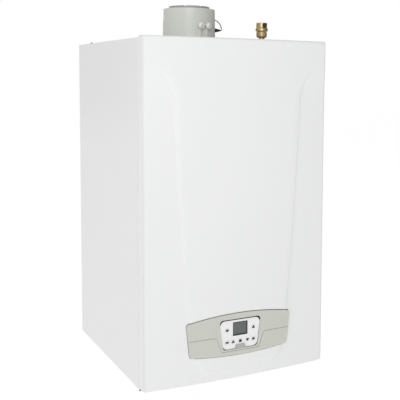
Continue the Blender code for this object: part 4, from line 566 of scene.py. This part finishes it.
tools = [
    plate_body("fascia_inside", inside, grey),
    plate_body("upper_step", step, grey),
    plate_body("line_groove", groove, grey, 1),
    plate_body("keypad_window", window, grey),
]
for tool in tools:
    cut(cover, tool)
settle(cover)
discard(*tools)
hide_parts("fascia")
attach(cover, "casing_body")

# Keypad.
# A white moulded plate sunk in the fascia's window, its gap wider along the top; a black ring in the gap is
# painted shade.
# The display sits in a black frame behind it, seven keys stand through it, and a bare grey tab is pressed on.
plate_front = -0.5045
plate_back = -0.5010
plate_lip = -0.5018
plate_round = 0.0005
key_play = 0.00035
mark_front, mark_back = -0.5054, -0.5052
mark_stagger = 0.00002
key_form = (0.00475, 0.0078, 0.0025)
key_places = {
    "key_left": (-0.0330, 0.1145), "key_right": (0.0330, 0.1145), "key_menu_1": (-0.0330, 0.0867),
    "key_menu_2": (-0.0180, 0.0867), "key_menu_3": (0.0, 0.0867), "key_menu_4": (0.0180, 0.0867),
    "key_menu_5": (0.0330, 0.0867),
}
display_form = (0.0184, 0.0184, 0.1312, 0.0996, 0.001, 0.0, 0.0)

keypad_white = Finish("white_plastic", specular_ior_level=0.45)
keypad_white.colour(keypad_white.noise(60.0), (0.765, 0.771, 0.767), (0.785, 0.791, 0.787))
keypad_white.roughness(0.38 + keypad_white.noise(1800.0, 1.0) * 0.10)
keypad_white.relief(keypad_white.noise(2600.0, 1.0), 0.00002)
print_black = Finish("key_print", specular_ior_level=0.4)
print_black.colour(print_black.noise(900.0), (0.018, 0.018, 0.020), (0.030, 0.030, 0.032))
print_black.roughness(0.5 + print_black.noise(900.0) * 0.1)


def key_rows(place, grow=0.0):
    """A key's rounded outline about its place, grown all round."""
    x, z = place
    half, tall, corner = key_form
    return lens_rows((half, half, z + tall / 2, z - tall / 2, corner, 0.0, 0.0), grow, x, 6)


def display_rows_of(grow):
    """The display's outline grown all round."""
    return lens_rows(display_form, grow, 0.0, 6)


lip_form = (0.0549, 0.0459, 0.1417, 0.0666, 0.011, 0.0, 0.0)
face_form = (0.0513, 0.0423, 0.1360, 0.0702, 0.0115, 0.0, 0.0)
lip_rows, face_rows = lens_rows(lip_form), lens_rows(face_form)
levels = [(*lip_rows, plate_back), (*lip_rows, plate_lip), (*face_rows, plate_lip)]
for inward, back in ((0.0, 1.0), (0.3, 0.3), (1.0, 0.0)):
    levels.append((*lens_rows(face_form, -inward * plate_round), plate_front + back * plate_round))
plate = plate_body("keypad_cover", levels, keypad_white, 12)
openings = {"display_opening": display_rows_of(0.0)}
openings |= {f"hole_{name}": key_rows(place, key_play) for name, place in key_places.items()}
tools = []
for name, rows in openings.items():
    tools.append(plate_body(name, [(*rows, clear_front), (*rows, clear_back)], keypad_white))
for tool in tools:
    cut(plate, tool)
settle(plate)
discard(*tools)
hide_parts("keypad_plate")
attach(plate, "casing_body")

# Painted shade: a black ring round the plate fills the gap where the shadow of the window's lip falls.
gap_shade_black = Finish("keypad_gap_shade", specular_ior_level=0.25)
gap_shade_black.colour(gap_shade_black.noise(300.0), (0.016, 0.016, 0.017), (0.026, 0.026, 0.027))
gap_shade_black.roughness(0.70 + gap_shade_black.noise(700.0) * 0.12)
shade_ring_gap = 0.0002
outer_rows, bore_rows = lens_rows(keypad_form, -shade_ring_gap), lens_rows(face_form, shade_ring_gap)
ring = plate_body("keypad_gap_shade", [(*outer_rows, -0.5020), (*outer_rows, -0.5041)], gap_shade_black, 12)
opening = plate_body("gap_shade_opening", [(*bore_rows, clear_front), (*bore_rows, clear_back)], gap_shade_black, 12)
cut(ring, opening)
settle(ring)
discard(opening)
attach(ring, "casing_body")

cross = [(0.0041, 0.0041, 0.0014, -0.0014), (0.0015, 0.0015, 0.0032, -0.0032)]
marks = {
    "key_left": cross,
    "key_right": [(0.0012, 0.0041, 0.0031, -0.0031)],
    "key_menu_1": [(0.0041, 0.0041, 0.0018, -0.0020)],
    "key_menu_2": [(0.0014, 0.0041, 0.0029, -0.0027)],
    "key_menu_3": [(0.0035, 0.0035, 0.0030, -0.0030)],
    "key_menu_4": [(0.0041, 0.0014, 0.0027, -0.0029)],
    "key_menu_5": cross,
}
key_levels = [
    (0.001, -0.4995), (0.001, -0.5007), (0.0, -0.5007), (0.0, -0.5047), (-0.0002, -0.5051),
    (-0.0006, -0.5053),
]
for name, place in key_places.items():
    cap_levels = [(*key_rows(place, grow), depth) for grow, depth in key_levels]
    cap = plate_body(f"{name}_cap", cap_levels, keypad_white, 6)
    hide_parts(name)
    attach(cap, f"{name}_body")
    bars = []
    for k, (top_half, foot_half, high, low) in enumerate(marks[name]):
        bar = (top_half, foot_half, place[1] + high, place[1] + low, 0.0004, 0.0, 0.0)
        rows = lens_rows(bar, 0.0, place[0], 4)
        depths = (mark_back, mark_front - k * mark_stagger)
        bars.append(plate_body(f"{name}_mark{k or ''}", [(*rows, depth) for depth in depths], print_black, 2))
    for bar in bars[1:]:
        cut(bars[0], bar, "UNION")
        settle(bars[0])
        discard(bar)
    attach(bars[0], f"{name}_body")

frame_width = 0.0014
screen_back, screen_front = -0.5014, -0.5018
frame_black = Finish("display_frame", specular_ior_level=0.5)
frame_black.colour(frame_black.noise(200.0), (0.012, 0.013, 0.013), (0.020, 0.021, 0.021))
frame_black.roughness(0.28 + frame_black.noise(500.0) * 0.08)
crystal = Finish("display_crystal", specular_ior_level=0.5, coat_weight=0.6, coat_roughness=0.05)
crystal.colour(crystal.noise(45.0, 1.0), (0.073, 0.088, 0.082), (0.086, 0.101, 0.095))
crystal.roughness(0.22 + crystal.noise(900.0) * 0.08)
screen_rows = display_rows_of(-frame_width)
rim_steps = ((0.0001, plate_back), (0.0001, -0.5041), (0.0003, -0.5043))
rim_levels = [(*display_rows_of(-inward), depth) for inward, depth in rim_steps]
rim = plate_body("display_frame", rim_levels, frame_black, 6)
well = plate_body("display_well", [(*screen_rows, clear_front), (*screen_rows, screen_back)], frame_black)
cut(rim, well)
settle(rim)
discard(well)
screen = plate_body("display_screen", [(*screen_rows, screen_back), (*screen_rows, screen_front)], crystal, 6)
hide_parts("display_window")
for piece in (rim, screen):
    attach(piece, "casing_body")
tab_grey = Finish("tab_grey", specular_ior_level=0.4)
tab_grey.colour(tab_grey.noise(500.0, 3.0), (0.360, 0.368, 0.340), (0.440, 0.448, 0.415))
tab_grey.roughness(0.48 + tab_grey.noise(1500.0) * 0.12)
tab_grey.relief(tab_grey.noise(1600.0, 2.0), 0.00008)
tab_form = (0.0112, 0.0138, 0.0795, 0.0699, 0.0015, 0.0, 0.0)
tab_steps = ((0, -0.5046), (0, -0.5058), (-0.0003, -0.5061), (-0.0008, -0.5062))
tab_levels = [(*lens_rows(tab_form, grow), depth) for grow, depth in tab_steps]
tab = plate_body("keypad_tab_cover", tab_levels, tab_grey, 6)
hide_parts("keypad_tab")
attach(tab, "casing_body")

# Flue adapter.
# A moulded grey sleeve on a flange screwed to the lid, round the inner flue socket. A rib runs up one side
# and two sampling ports stand out in front; a sensor is plugged in on the right, its lead looped behind.
casing_top = 0.0425
flue_y = -0.204
sleeve_radius = 0.064
sleeve_wall = 0.003
sleeve_high = 0.0880
sleeve_draft = 0.0012
flange_radius = 0.075
port_high = 0.0445
port_radius = 0.0065
port_reach = 0.006
port_turns = {"test_cap_left": 1.9, "test_cap_right": 18.9}
socket_radius = 0.051
socket_wall = 0.003
socket_rise = 0.0065
boot_turn = 76.0
boot_high = 0.038
lead_radius = 0.0011
fit = 0.0003
sunk = 0.002
foot = casing_top + fit
rim_z = casing_top + sleeve_high


def turned(name, profile, finish, place=(0, 0, 0), axis=(0, 0, 1), sides=96, sharp=30.0):
    """A turned solid: the closed profile of radius and height, swung full circle about its axis. It is the
    set of points place + radius (cos a, sin a) across the axis + height along it."""
    axis = np.array(axis, float) / np.linalg.norm(axis)
    first = np.cross(axis, (0, 0, 1.0) if abs(axis[2]) < 0.9 else (1.0, 0, 0))
    first /= np.linalg.norm(first)
    second = np.cross(axis, first)
    profile = np.array(profile, float)
    profile = np.concatenate([profile, profile[:1]])
    angle = np.linspace(0, 2 * np.pi, sides, endpoint=False)
    ring = np.cos(angle)[:, None] * first + np.sin(angle)[:, None] * second
    points = np.array(place) + profile[:, :1, None] * ring + profile[:, 1:, None] * axis
    return skin(name, points.reshape(-1, 3), grid_faces(len(profile), sides, ring=True), finish, sharp)


def rod(radius, length):
    """The profile of a plain round rod or hole, from its axis out and back."""
    return [(0, 0), (radius, 0), (radius, length), (0, length)]


def round_edge(corner, radius, start, end, steps=5):
    """Profile points of a rounded edge: an arc about the corner's centre from one angle to the other."""
    angle = np.radians(np.linspace(start, end, steps + 1))
    return [(corner[0] + radius * np.cos(a), corner[1] + radius * np.sin(a)) for a in angle]


def about_flue(turn, radius, height=0.0):
    """A point at this turn from the front, this far out from the flue's axis and at this height."""
    angle = np.radians(turn)
    return np.array([radius * np.sin(angle), flue_y - radius * np.cos(angle), height])


def outward_at(turn):
    """The direction straight out of the flue at this turn from the front: the sine and less the cosine."""
    return about_flue(turn, 1.0) - (0, flue_y, 0)


def swept(name, sections, finish, sharp=30.0):
    """A closed body through a row of outlines of equal count, its two ends closed by fans."""
    sections = np.array(sections, float)
    rows, columns = sections.shape[:2]
    ends = sections[[0, -1]].mean(axis=1)
    points = np.concatenate([sections.reshape(-1, 3), ends])
    faces = grid_faces(rows, columns, ring=True)
    for row, middle in ((0, rows * columns), (rows - 1, rows * columns + 1)):
        faces += [(row * columns + k, row * columns + (k + 1) % columns, middle) for k in range(columns)]
    return skin(name, points, faces, finish, sharp)


flue_grey = Finish("flue_grey", specular_ior_level=0.5)
flue_grey.colour(flue_grey.noise(18.0), (0.575, 0.585, 0.540), (0.615, 0.625, 0.580))
flue_grey.roughness(0.30 + flue_grey.noise(120.0) * 0.10)
flue_grey.relief(flue_grey.noise(450.0, 2.0), 0.00004)
inner_radius = sleeve_radius - sleeve_wall
drafted = sleeve_radius + sleeve_draft
sleeve_top = rim_z - foot
sleeve_profile = (
    [(inner_radius, 0), (flange_radius, 0)] + round_edge((flange_radius - 0.0008, 0.0032), 0.0008, 0, 90)
    + [(drafted + 0.0012, 0.0040), (drafted + 0.0003, 0.0044), (drafted, 0.0055)]
    + [(drafted - sleeve_draft * s, 0.0055 + (sleeve_high - 0.0068) * s) for s in (0.25, 0.5, 0.75)]
    + round_edge((sleeve_radius - 0.0012, sleeve_top - 0.0012), 0.0012, 0, 90)
    + round_edge((inner_radius + 0.0006, sleeve_top - 0.0006), 0.0006, 90, 180)
)
sleeve = turned("flue_sleeve", sleeve_profile, flue_grey, (0, flue_y, foot), sides=128)


def standing_rib(name, turn, low, high, width, out_low, out_high):
    """A rib up the sleeve: rounded sections of its width, standing out by a straight blend up its height."""
    share = np.linspace(0, 1, 9)
    side = outward_at(turn + 90)
    outward = outward_at(turn)
    curve = np.radians(np.linspace(-90, 90, 9))
    across = np.concatenate([[-1], np.sin(curve), [1]]) * width / 2
    proud = np.concatenate([[0], 0.35 + 0.65 * np.cos(curve), [0]])
    base = np.array([0, flue_y, 0]) + outward * (sleeve_radius - sunk)
    out = sunk + out_low + (out_high - out_low) * share
    taper = np.minimum(1, (1 - share) / 0.06 + 0.25)
    rise = (low + (high - low) * share)[:, None, None] * np.array([0, 0, 1.0])
    stand = (out * taper)[:, None, None] * proud[None, :, None] * outward
    sections = base + across[None, :, None] * side + stand + rise
    return swept(name, sections, flue_grey, 35)


joined = [standing_rib("flue_rib", -98.0, foot + 0.003, casing_top + 0.066, 0.011, 0.0040, 0.0026)]
for name, turn in port_turns.items():
    place = about_flue(turn, sleeve_radius - sunk, casing_top + port_high)
    port = rod(port_radius, sunk + port_reach)
    joined.append(turned(f"{name}_port", port, flue_grey, place, outward_at(turn), 40))
    fin_out = sleeve_draft + 0.001, port_reach - 0.0008
    joined.append(standing_rib(f"{name}_fin", turn, foot + 0.003, casing_top + port_high, 0.0090, *fin_out))


def standing_web(name, turn, near, far, low, high, thick):
    """A flat web that stands along a radius of the flue: four corners in section, near end to far end."""
    side = outward_at(turn + 90)
    outline = np.array([(-thick / 2, low), (thick / 2, low), (thick / 2, high), (-thick / 2, high)])
    ring = outline[:, :1] * side + outline[:, 1:] * (0, 0, 1.0)
    return swept(name, [about_flue(turn, reach) + ring for reach in (near, far)], flue_grey)


web_reach = socket_radius - 0.008 + fit, sleeve_radius - 0.001
for k, turn in enumerate((60, 180, 300)):
    joined.append(standing_web(f"flue_web_{k}", turn, *web_reach, foot + 0.001, foot + 0.018, 0.003))
for piece in joined:
    cut(sleeve, piece, "UNION")
place = about_flue(boot_turn, sleeve_radius - 0.008, casing_top + boot_high)
holes = [turned("sensor_hole", rod(0.0042, 0.03), flue_grey, place, outward_at(boot_turn), 32)]
for k in range(4):
    place = about_flue(54 + 90 * k, flange_radius - 0.0048, foot - 0.01)
    holes.append(turned(f"flange_hole_{k}", rod(0.0021, 0.02), flue_grey, place, sides=24))
for hole in holes:
    cut(sleeve, hole)
settle(sleeve)
discard(*joined, *holes)
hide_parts("flue_adapter")
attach(sleeve, "casing_body")

socket_grey = Finish("socket_grey", specular_ior_level=0.45)
socket_grey.colour(socket_grey.noise(25.0), (0.340, 0.345, 0.345), (0.390, 0.395, 0.392))
socket_grey.roughness(0.36 + socket_grey.noise(140.0) * 0.12)
socket_grey.relief(socket_grey.noise(450.0, 2.0), 0.00004)
socket_top = rim_z + socket_rise
socket_bore = socket_radius - socket_wall
neck = 0.0406
neck_foot = casing_top + 0.005 - socket_top
socket_profile = (
    [(neck, neck_foot), (neck + socket_wall, neck_foot), (neck + socket_wall, -0.047),
     (socket_radius, -0.039), (socket_radius, -0.012), (socket_radius - 0.0005, -0.0115)]
    + round_edge((socket_radius - 0.0013, -0.0008), 0.0008, 0, 90)
    + round_edge((socket_bore + 0.0006, -0.0006), 0.0006, 90, 180) + [(socket_bore, -0.036), (neck, -0.044)]
)
socket = turned("flue_socket", socket_profile, socket_grey, (0, flue_y, socket_top), sides=112)
nick_reach = socket_bore - 0.002, socket_radius + 0.002
nick_levels = socket_top - 0.0022, socket_top + 0.002
nicks = [standing_web(f"socket_nick_{k}", 11 + 45 * k, *nick_reach, *nick_levels, 0.0034) for k in range(8)]
for nick in nicks:
    cut(socket, nick)
settle(socket)
discard(*nicks)
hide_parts("flue_inner_socket")
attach(socket, "casing_body")

rubber = Finish("black_rubber", specular_ior_level=0.35)
rubber.colour(rubber.noise(120.0), (0.012, 0.012, 0.013), (0.024, 0.024, 0.025))
rubber.roughness(0.58 + rubber.noise(600.0) * 0.18)
rubber.relief(rubber.noise(1200.0), 0.00005)
pipe_radius = 0.040
seal_inner = socket_bore - 0.003
seal_profile = [
    (socket_bore - fit, -0.019), (socket_bore - fit, -0.006), (socket_bore - 0.001, -0.0053),
    (seal_inner, -0.005), (pipe_radius, -0.0119), (pipe_radius - 0.0005, -0.0132),
    (pipe_radius - 0.0003, -0.0145), (seal_inner, -0.012), (seal_inner, -0.019),
]
seal = turned("flue_seal", seal_profile, rubber, (0, flue_y, socket_top))
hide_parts("flue_lip_seal")
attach(seal, "casing_body")

cap_white = Finish("cap_white", specular_ior_level=0.45)
cap_white.colour(cap_white.noise(90.0), (0.730, 0.728, 0.690), (0.770, 0.768, 0.730))
cap_white.roughness(0.36 + cap_white.noise(700.0) * 0.10)
cap_radius, cap_depth, cap_dome = 0.0080, 0.0075, 0.0032
cap_profile = [(0, 0), (cap_radius - 0.0012, 0), (cap_radius, 0.0012)]
for a in np.linspace(0, 1.25, 9):
    cap_profile.append((cap_radius * np.cos(a), cap_dome + (cap_depth - cap_dome) * np.sin(a)))
cap_profile.append((0, cap_depth - 0.0002))
slot_lean = np.radians(28)
slot_wide, slot_long, slot_deep = 0.0022, 0.0112, 0.0050
for name, turn in port_turns.items():
    place = about_flue(turn, sleeve_radius + port_reach + fit, casing_top + port_high)
    outward = outward_at(turn)
    cap = turned(f"{name}_plug", cap_profile, cap_white, place, outward, 64)
    level = np.cross((0, 0, 1.0), outward)
    along = level * np.sin(slot_lean) + np.array([0, 0, 1.0]) * np.cos(slot_lean)
    thick = np.cross(outward, along)
    corners = np.array([(-0.5, -0.5), (0.5, -0.5), (0.5, 0.5), (-0.5, 0.5)])
    flat = corners[:, :1] * slot_wide * thick + corners[:, 1:] * slot_long * along
    depths = (cap_depth - slot_deep, cap_depth + 0.003)
    slot = swept(f"{name}_slot", [place + outward * depth + flat for depth in depths], cap_white)
    cut(cap, slot)
    settle(cap, 35)
    discard(slot)
    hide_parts(name)
    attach(cap, f"{name}_body")

boot_start = about_flue(boot_turn, sleeve_radius - sleeve_wall - 0.002, casing_top + boot_high)
boot_profile = [
    (0, 0), (0.0035, 0), (0.0038, 0.0004), (0.0038, 0.0066), (0.0048, 0.0066), (0.0050, 0.0069),
    (0.0050, 0.0082), (0.0046, 0.0086), (0.0048, 0.0092), (0.0047, 0.0108), (0.0042, 0.0122),
    (0.0036, 0.0130), (0.0032, 0.0150), (0.0027, 0.0180), (0.0024, 0.0196), (0.0021, 0.0200), (0, 0.0200),
]
boot = turned("sensor_boot", boot_profile, rubber, boot_start, outward_at(boot_turn), 40)
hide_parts("flue_sensor_boot")
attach(boot, "casing_body")


def smooth_route(points, steps):
    """A smooth curve through all the points: on each stretch the cubic that leaves and arrives along the
    line between the neighbours, 0.5 (2b + (c - a) t + (2a - 5b + 4c - d) t^2 + (3b - a - 3c + d) t^3)."""
    points = np.array(points, float)
    padded = np.concatenate([points[:1], points, points[-1:]])
    a, b, c, d = (padded[k:len(padded) - 3 + k, None] for k in range(4))
    t = np.linspace(0, 1, steps, endpoint=False)[None, :, None]
    line = 0.5 * (2 * b + (c - a) * t + (2 * a - 5 * b + 4 * c - d) * t**2 + (3 * b - a - 3 * c + d) * t**3)
    return np.concatenate([line.reshape(-1, 3), points[-1:]])


def round_cord(name, path, radius, finish, sides=20):
    """A round cord: circles carried along a path, each turned from the last with no twist, closed at the
    two ends."""
    run = np.gradient(path, axis=0)
    run /= np.linalg.norm(run, axis=1)[:, None]
    side = np.cross(run[0], (0, 0, 1.0))
    sides_of = []
    for way in run:
        side = side - way * (side @ way)
        side = side / np.linalg.norm(side)
        sides_of.append(side)
    first = np.array(sides_of)
    second = np.cross(run, first)
    angle = np.linspace(0, 2 * np.pi, sides, endpoint=False)[None, :, None]
    sections = path[:, None] + radius * (np.cos(angle) * first[:, None] + np.sin(angle) * second[:, None])
    return swept(name, sections, finish, 60)


boot_reach = sleeve_radius - sleeve_wall - 0.002 + 0.020 + fit
entry = about_flue(142, flange_radius + 0.014)[:2]
loop = (
    (0, 0, 0), (0, 0.0022, 0), (2.5, 0.0035, 0.006), (5, 0.0015, 0.015), (9, -0.004, 0.023),
    (18, -0.0085, 0.028), (32, -0.0105, 0.027), (46, -0.010, 0.017), (56, -0.002, 0.004),
)
boot_z = casing_top + boot_high
lead_route = [about_flue(boot_turn + turn, boot_reach + out, boot_z + rise) for turn, out, rise in loop]
lead_route += [np.array([*entry, casing_top + rise]) for rise in (0.018, 0.006, -0.006, -0.030)]
lead = round_cord("sensor_lead", smooth_route(lead_route, 8), lead_radius, rubber)
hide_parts("flue_sensor_lead")
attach(lead, "casing_body")


def rubber_ring(name, node, place, neck, rim, bore):
    """A rubber grommet: a turned ring with a groove for the sheet's edge and soft rounded lips."""
    under, lower = -0.0018, -0.0038
    profile = [
        (bore, lower), (rim - 0.0015, lower), (rim - 0.001, lower + 0.0005), (rim - 0.001, under),
        (neck, under), (neck, fit), (rim, fit), (rim, 0.0009), (rim - 0.0005, 0.0015),
        (neck + 0.0006, 0.0021), (neck, 0.0027), (neck - 0.0006, 0.003), (bore, 0.003),
    ]
    ring = turned(name, profile, rubber, (*place, casing_top), sides=64)
    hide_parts(node)
    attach(ring, "casing_body")


rubber_ring("lead_ring", "lead_grommet", entry, 0.0040, 0.0062, lead_radius + 2 * fit)

# Air vent.
# A float vent turned from brass bar stands on a riser through the lid: a domed lower bowl, a wider collar
# where its bonnet screws in, and a side outlet closed by a small ribbed black cap.
vent_place = np.array([0.1485, -0.314])
vent_foot = 0.0548
vent_high = 0.0425
vent_body = 0.0133
vent_neck = 0.0072
vent_collar = 0.0140
vent_groove = vent_body - 0.0026
spigot_radius, spigot_length = 0.0035, 0.0040
spigot_z = vent_foot + vent_high - 0.0058

brass = Finish("turned_brass", metallic=1.0)
brass_swirl = brass.noise(900.0, 2.0, (0.02, 0.02, 1.0))
brass.colour(brass.noise(80.0), (0.43, 0.315, 0.165), (0.55, 0.415, 0.235))
brass.roughness(0.34 + brass_swirl * 0.18)
brass.relief(brass_swirl, 0.00003)
vent_profile = [(0, 0), (vent_neck, 0), (vent_neck, 0.0055)]
for a in np.linspace(0.15, np.pi / 2, 8):
    vent_profile.append((vent_neck + (vent_body - vent_neck) * np.sin(a), 0.0110 - 0.0055 * np.cos(a)))
vent_profile += [
    (vent_body, 0.0193), (vent_body - 0.0004, 0.0196), (vent_groove, 0.0199), (vent_groove, 0.0214),
    (vent_collar, 0.0216), (vent_collar + 0.0013, 0.0230), (vent_collar + 0.0013, 0.0270),
    (vent_collar, 0.0300), (vent_body + 0.0002, 0.0306), (vent_body, 0.0312),
]
vent_profile += round_edge((vent_body - 0.0012, vent_high - 0.0012), 0.0012, 0, 90) + [(0, vent_high)]
vent = turned("vent_bonnet", vent_profile, brass, (*vent_place, vent_foot), sides=96, sharp=25)
spigot_profile = rod(spigot_radius, vent_body + spigot_length)
spigot = turned("vent_spigot", spigot_profile, brass, (*vent_place, spigot_z), (0, -1, 0), 48)
cut(vent, spigot, "UNION")
settle(vent, 25)
discard(spigot)
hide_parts("air_vent_body")
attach(vent, "casing_body")

black = Finish("black_plastic", specular_ior_level=0.45)
black.colour(black.noise(150.0), (0.016, 0.016, 0.017), (0.030, 0.030, 0.031))
black.roughness(0.40 + black.noise(900.0) * 0.12)
black.relief(black.noise(1300.0), 0.00004)
vent_cap_radius = 0.0053
vent_cap_depth = 0.0068
ribs = 18
angle = np.linspace(0, 2 * np.pi, ribs * 8, endpoint=False)
fluted = 1 - 0.07 * (0.5 - 0.5 * np.cos(ribs * angle)) ** 2
cap_start = np.array([vent_place[0], vent_place[1] - vent_body - fit, spigot_z])
cap_bore = spigot_radius + fit
cap_floor = spigot_length + 2 * fit
profile = np.array([
    (cap_bore, 0, 0), (vent_cap_radius - 0.0006, 0, 0), (vent_cap_radius, 0.0006, 1),
    (vent_cap_radius, vent_cap_depth - 0.0016, 1), (vent_cap_radius - 0.0004, vent_cap_depth - 0.0006, 0.5),
    (vent_cap_radius - 0.0012, vent_cap_depth, 0), (0.0001, vent_cap_depth, 0), (0.0001, cap_floor, 0),
    (cap_bore, cap_floor, 0), (cap_bore, 0, 0),
])
radius = profile[:, :1] * (1 - profile[:, 2:] * (1 - fluted))
depth = 0 * radius - profile[:, 1:2]
points = cap_start + np.stack([radius * np.cos(angle), depth, radius * np.sin(angle)], axis=-1)
vent_cap = skin("vent_cap", points.reshape(-1, 3), grid_faces(len(profile), len(angle), ring=True), black, 35)
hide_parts("air_vent_cap")
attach(vent_cap, "air_vent_cap_body")
rubber_ring("vent_ring", "vent_grommet", vent_place, 0.0115, 0.015, vent_neck + fit)

# Lid screws, rest buffers and seam strips.
# Two blackened screws with domed heads hold the lid to the side panels near the wall. A small rubber
# buffer sits under each side panel, and a dark grey strip in the seam where the front panel meets it is
# painted shade.
blackened = Finish("blackened_steel", metallic=0.7)
blackened.colour(blackened.noise(300.0), (0.030, 0.030, 0.032), (0.055, 0.055, 0.058))
blackened.roughness(0.35 + blackened.noise(700.0) * 0.15)
screw_head = [
    (0, 0), (0.0032, 0), (0.0035, 0.0004), (0.0034, 0.0012), (0.0028, 0.0024), (0.0018, 0.0031),
    (0.0008, 0.0033), (0.0008, 0.0022), (0, 0.0022),
]
buffer_shape = [
    (0, 0), (0.0028, 0), (0.0030, 0.0008), (0.0028, 0.0028), (0.0021, 0.0039), (0.0010, 0.0044), (0, 0.0045),
]
strip_form = (0.0009, 0.0009, 0.7590, 0.0080, 0.0004, 0.0, 0.0)
clearance = 0.0001
# Painted shade: a dark grey strip set in each side seam stands for the shadow in the gap.
seam_shade_grey = Finish("seam_shade_grey", specular_ior_level=0.3)
seam_shade_grey.colour(seam_shade_grey.noise(400.0), (0.110, 0.112, 0.114), (0.150, 0.152, 0.154))
seam_shade_grey.roughness(0.62 + seam_shade_grey.noise(500.0) * 0.15)
for side, hand in ((-1, "left"), (1, "right")):
    place = (side * 0.2155, -0.085, casing_top + clearance)
    screw = turned(f"lid_screw_{hand}", screw_head, blackened, place, sides=32)
    place = (side * 0.2215, -0.4620, -wall_plane - clearance)
    buffer = turned(f"rest_buffer_{hand}", buffer_shape, rubber, place, (0, 0, -1), 32)
    strip_rows = lens_rows(strip_form, 0.0, side * 0.2233, 4)
    strip = plate_body(f"seam_shade_strip_{hand}", [(*strip_rows, -0.4679), (*strip_rows, -0.4669)], seam_shade_grey, 2)
    for piece in (screw, buffer, strip):
        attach(piece, "casing_body")

# Control box, boards and other black mouldings.
# The control box behind the fascia, its cover, the fan motor, the air silencer and the pressure sensor are
# black glass-filled mouldings. The two circuit boards are green, and a foam frame seals the front panel.
coat(
    black, "display_module", "control_box", "control_box_cover", "fan_motor", "air_silencer", "pressure_sensor"
)

board = Finish("green_board", specular_ior_level=0.5, coat_weight=0.4, coat_roughness=0.15)
board.colour(board.cells(260.0, "Color"), (0.012, 0.110, 0.045), (0.020, 0.150, 0.062))
board.roughness(0.32 + board.noise(300.0) * 0.14)
board.relief(board.cells(420.0), 0.00012)
coat(board, "switch_board", "control_board")

foam = Finish("grey_foam", specular_ior_level=0.15)
foam.colour(foam.cells(1500.0), (0.070, 0.072, 0.074), (0.150, 0.152, 0.155))
foam.roughness(0.88 + foam.noise(500.0) * 0.10)
foam.relief(foam.cells(1500.0), 0.0003)
coat(foam, "panel_gasket")

# Heat exchanger and burner.
# The drum is a coil of flattened stainless tube, drawn tight round the burner's perforated tube; its ribs
# show the lengthwise brushing of the rolled steel, with straw tints from the welding.
steel = Finish("stainless", metallic=1.0)
brushed = steel.noise(700.0, 3.0, (1.0, 0.03, 1.0))
steel.colour(steel.noise(14.0), (0.50, 0.50, 0.49), (0.66, 0.62, 0.54))
steel.roughness(0.22 + brushed * 0.22)
steel.relief(brushed, 0.00003)
coat(steel, "heat_exchanger", "burner_tube")

# Castings.
# The burner door, the fan housing and its wheel, the mixer, the mixture duct and the gas valve are
# pressure die-cast in aluminium alloy and left as cast, with a fine grey grain.
alloy = Finish("cast_aluminium", metallic=0.85)
alloy.colour(alloy.noise(35.0), (0.44, 0.45, 0.46), (0.58, 0.59, 0.60))
alloy.roughness(0.44 + alloy.noise(260.0) * 0.22)
alloy.relief(alloy.noise(620.0, 4.0), 0.00018)
coat(alloy, "burner_door", "fan_housing", "fan_wheel", "mixer", "mixture_duct", "gas_valve")

glazed = Finish("ceramic", specular_ior_level=0.6)
glazed.colour(glazed.noise(120.0), (0.80, 0.78, 0.72), (0.86, 0.84, 0.79))
glazed.roughness(0.20 + glazed.noise(260.0) * 0.12)
coat(glazed, "spark_electrode")

# Pipes, flue run and drain.
# Gas and water run in bent copper tube. The flue pipe, its collector and the condensate trap are grey
# plastic like the adapter, and a ribbed black hose drains the trap.
copper = Finish("copper", metallic=1.0)
copper.colour(copper.noise(22.0, 4.0), (0.62, 0.33, 0.22), (0.78, 0.46, 0.32))
copper.roughness(0.24 + copper.noise(70.0, 4.0) * 0.26)
copper.relief(copper.noise(500.0), 0.00003)
coat(copper, "vent_riser", "gas_inlet_pipe", "gas_feed_pipe", "flow_pipe", "return_pipe")
coat(flue_grey, "flue_pipe", "flue_collector", "condensate_trap")
coat(rubber, "condensate_hose")
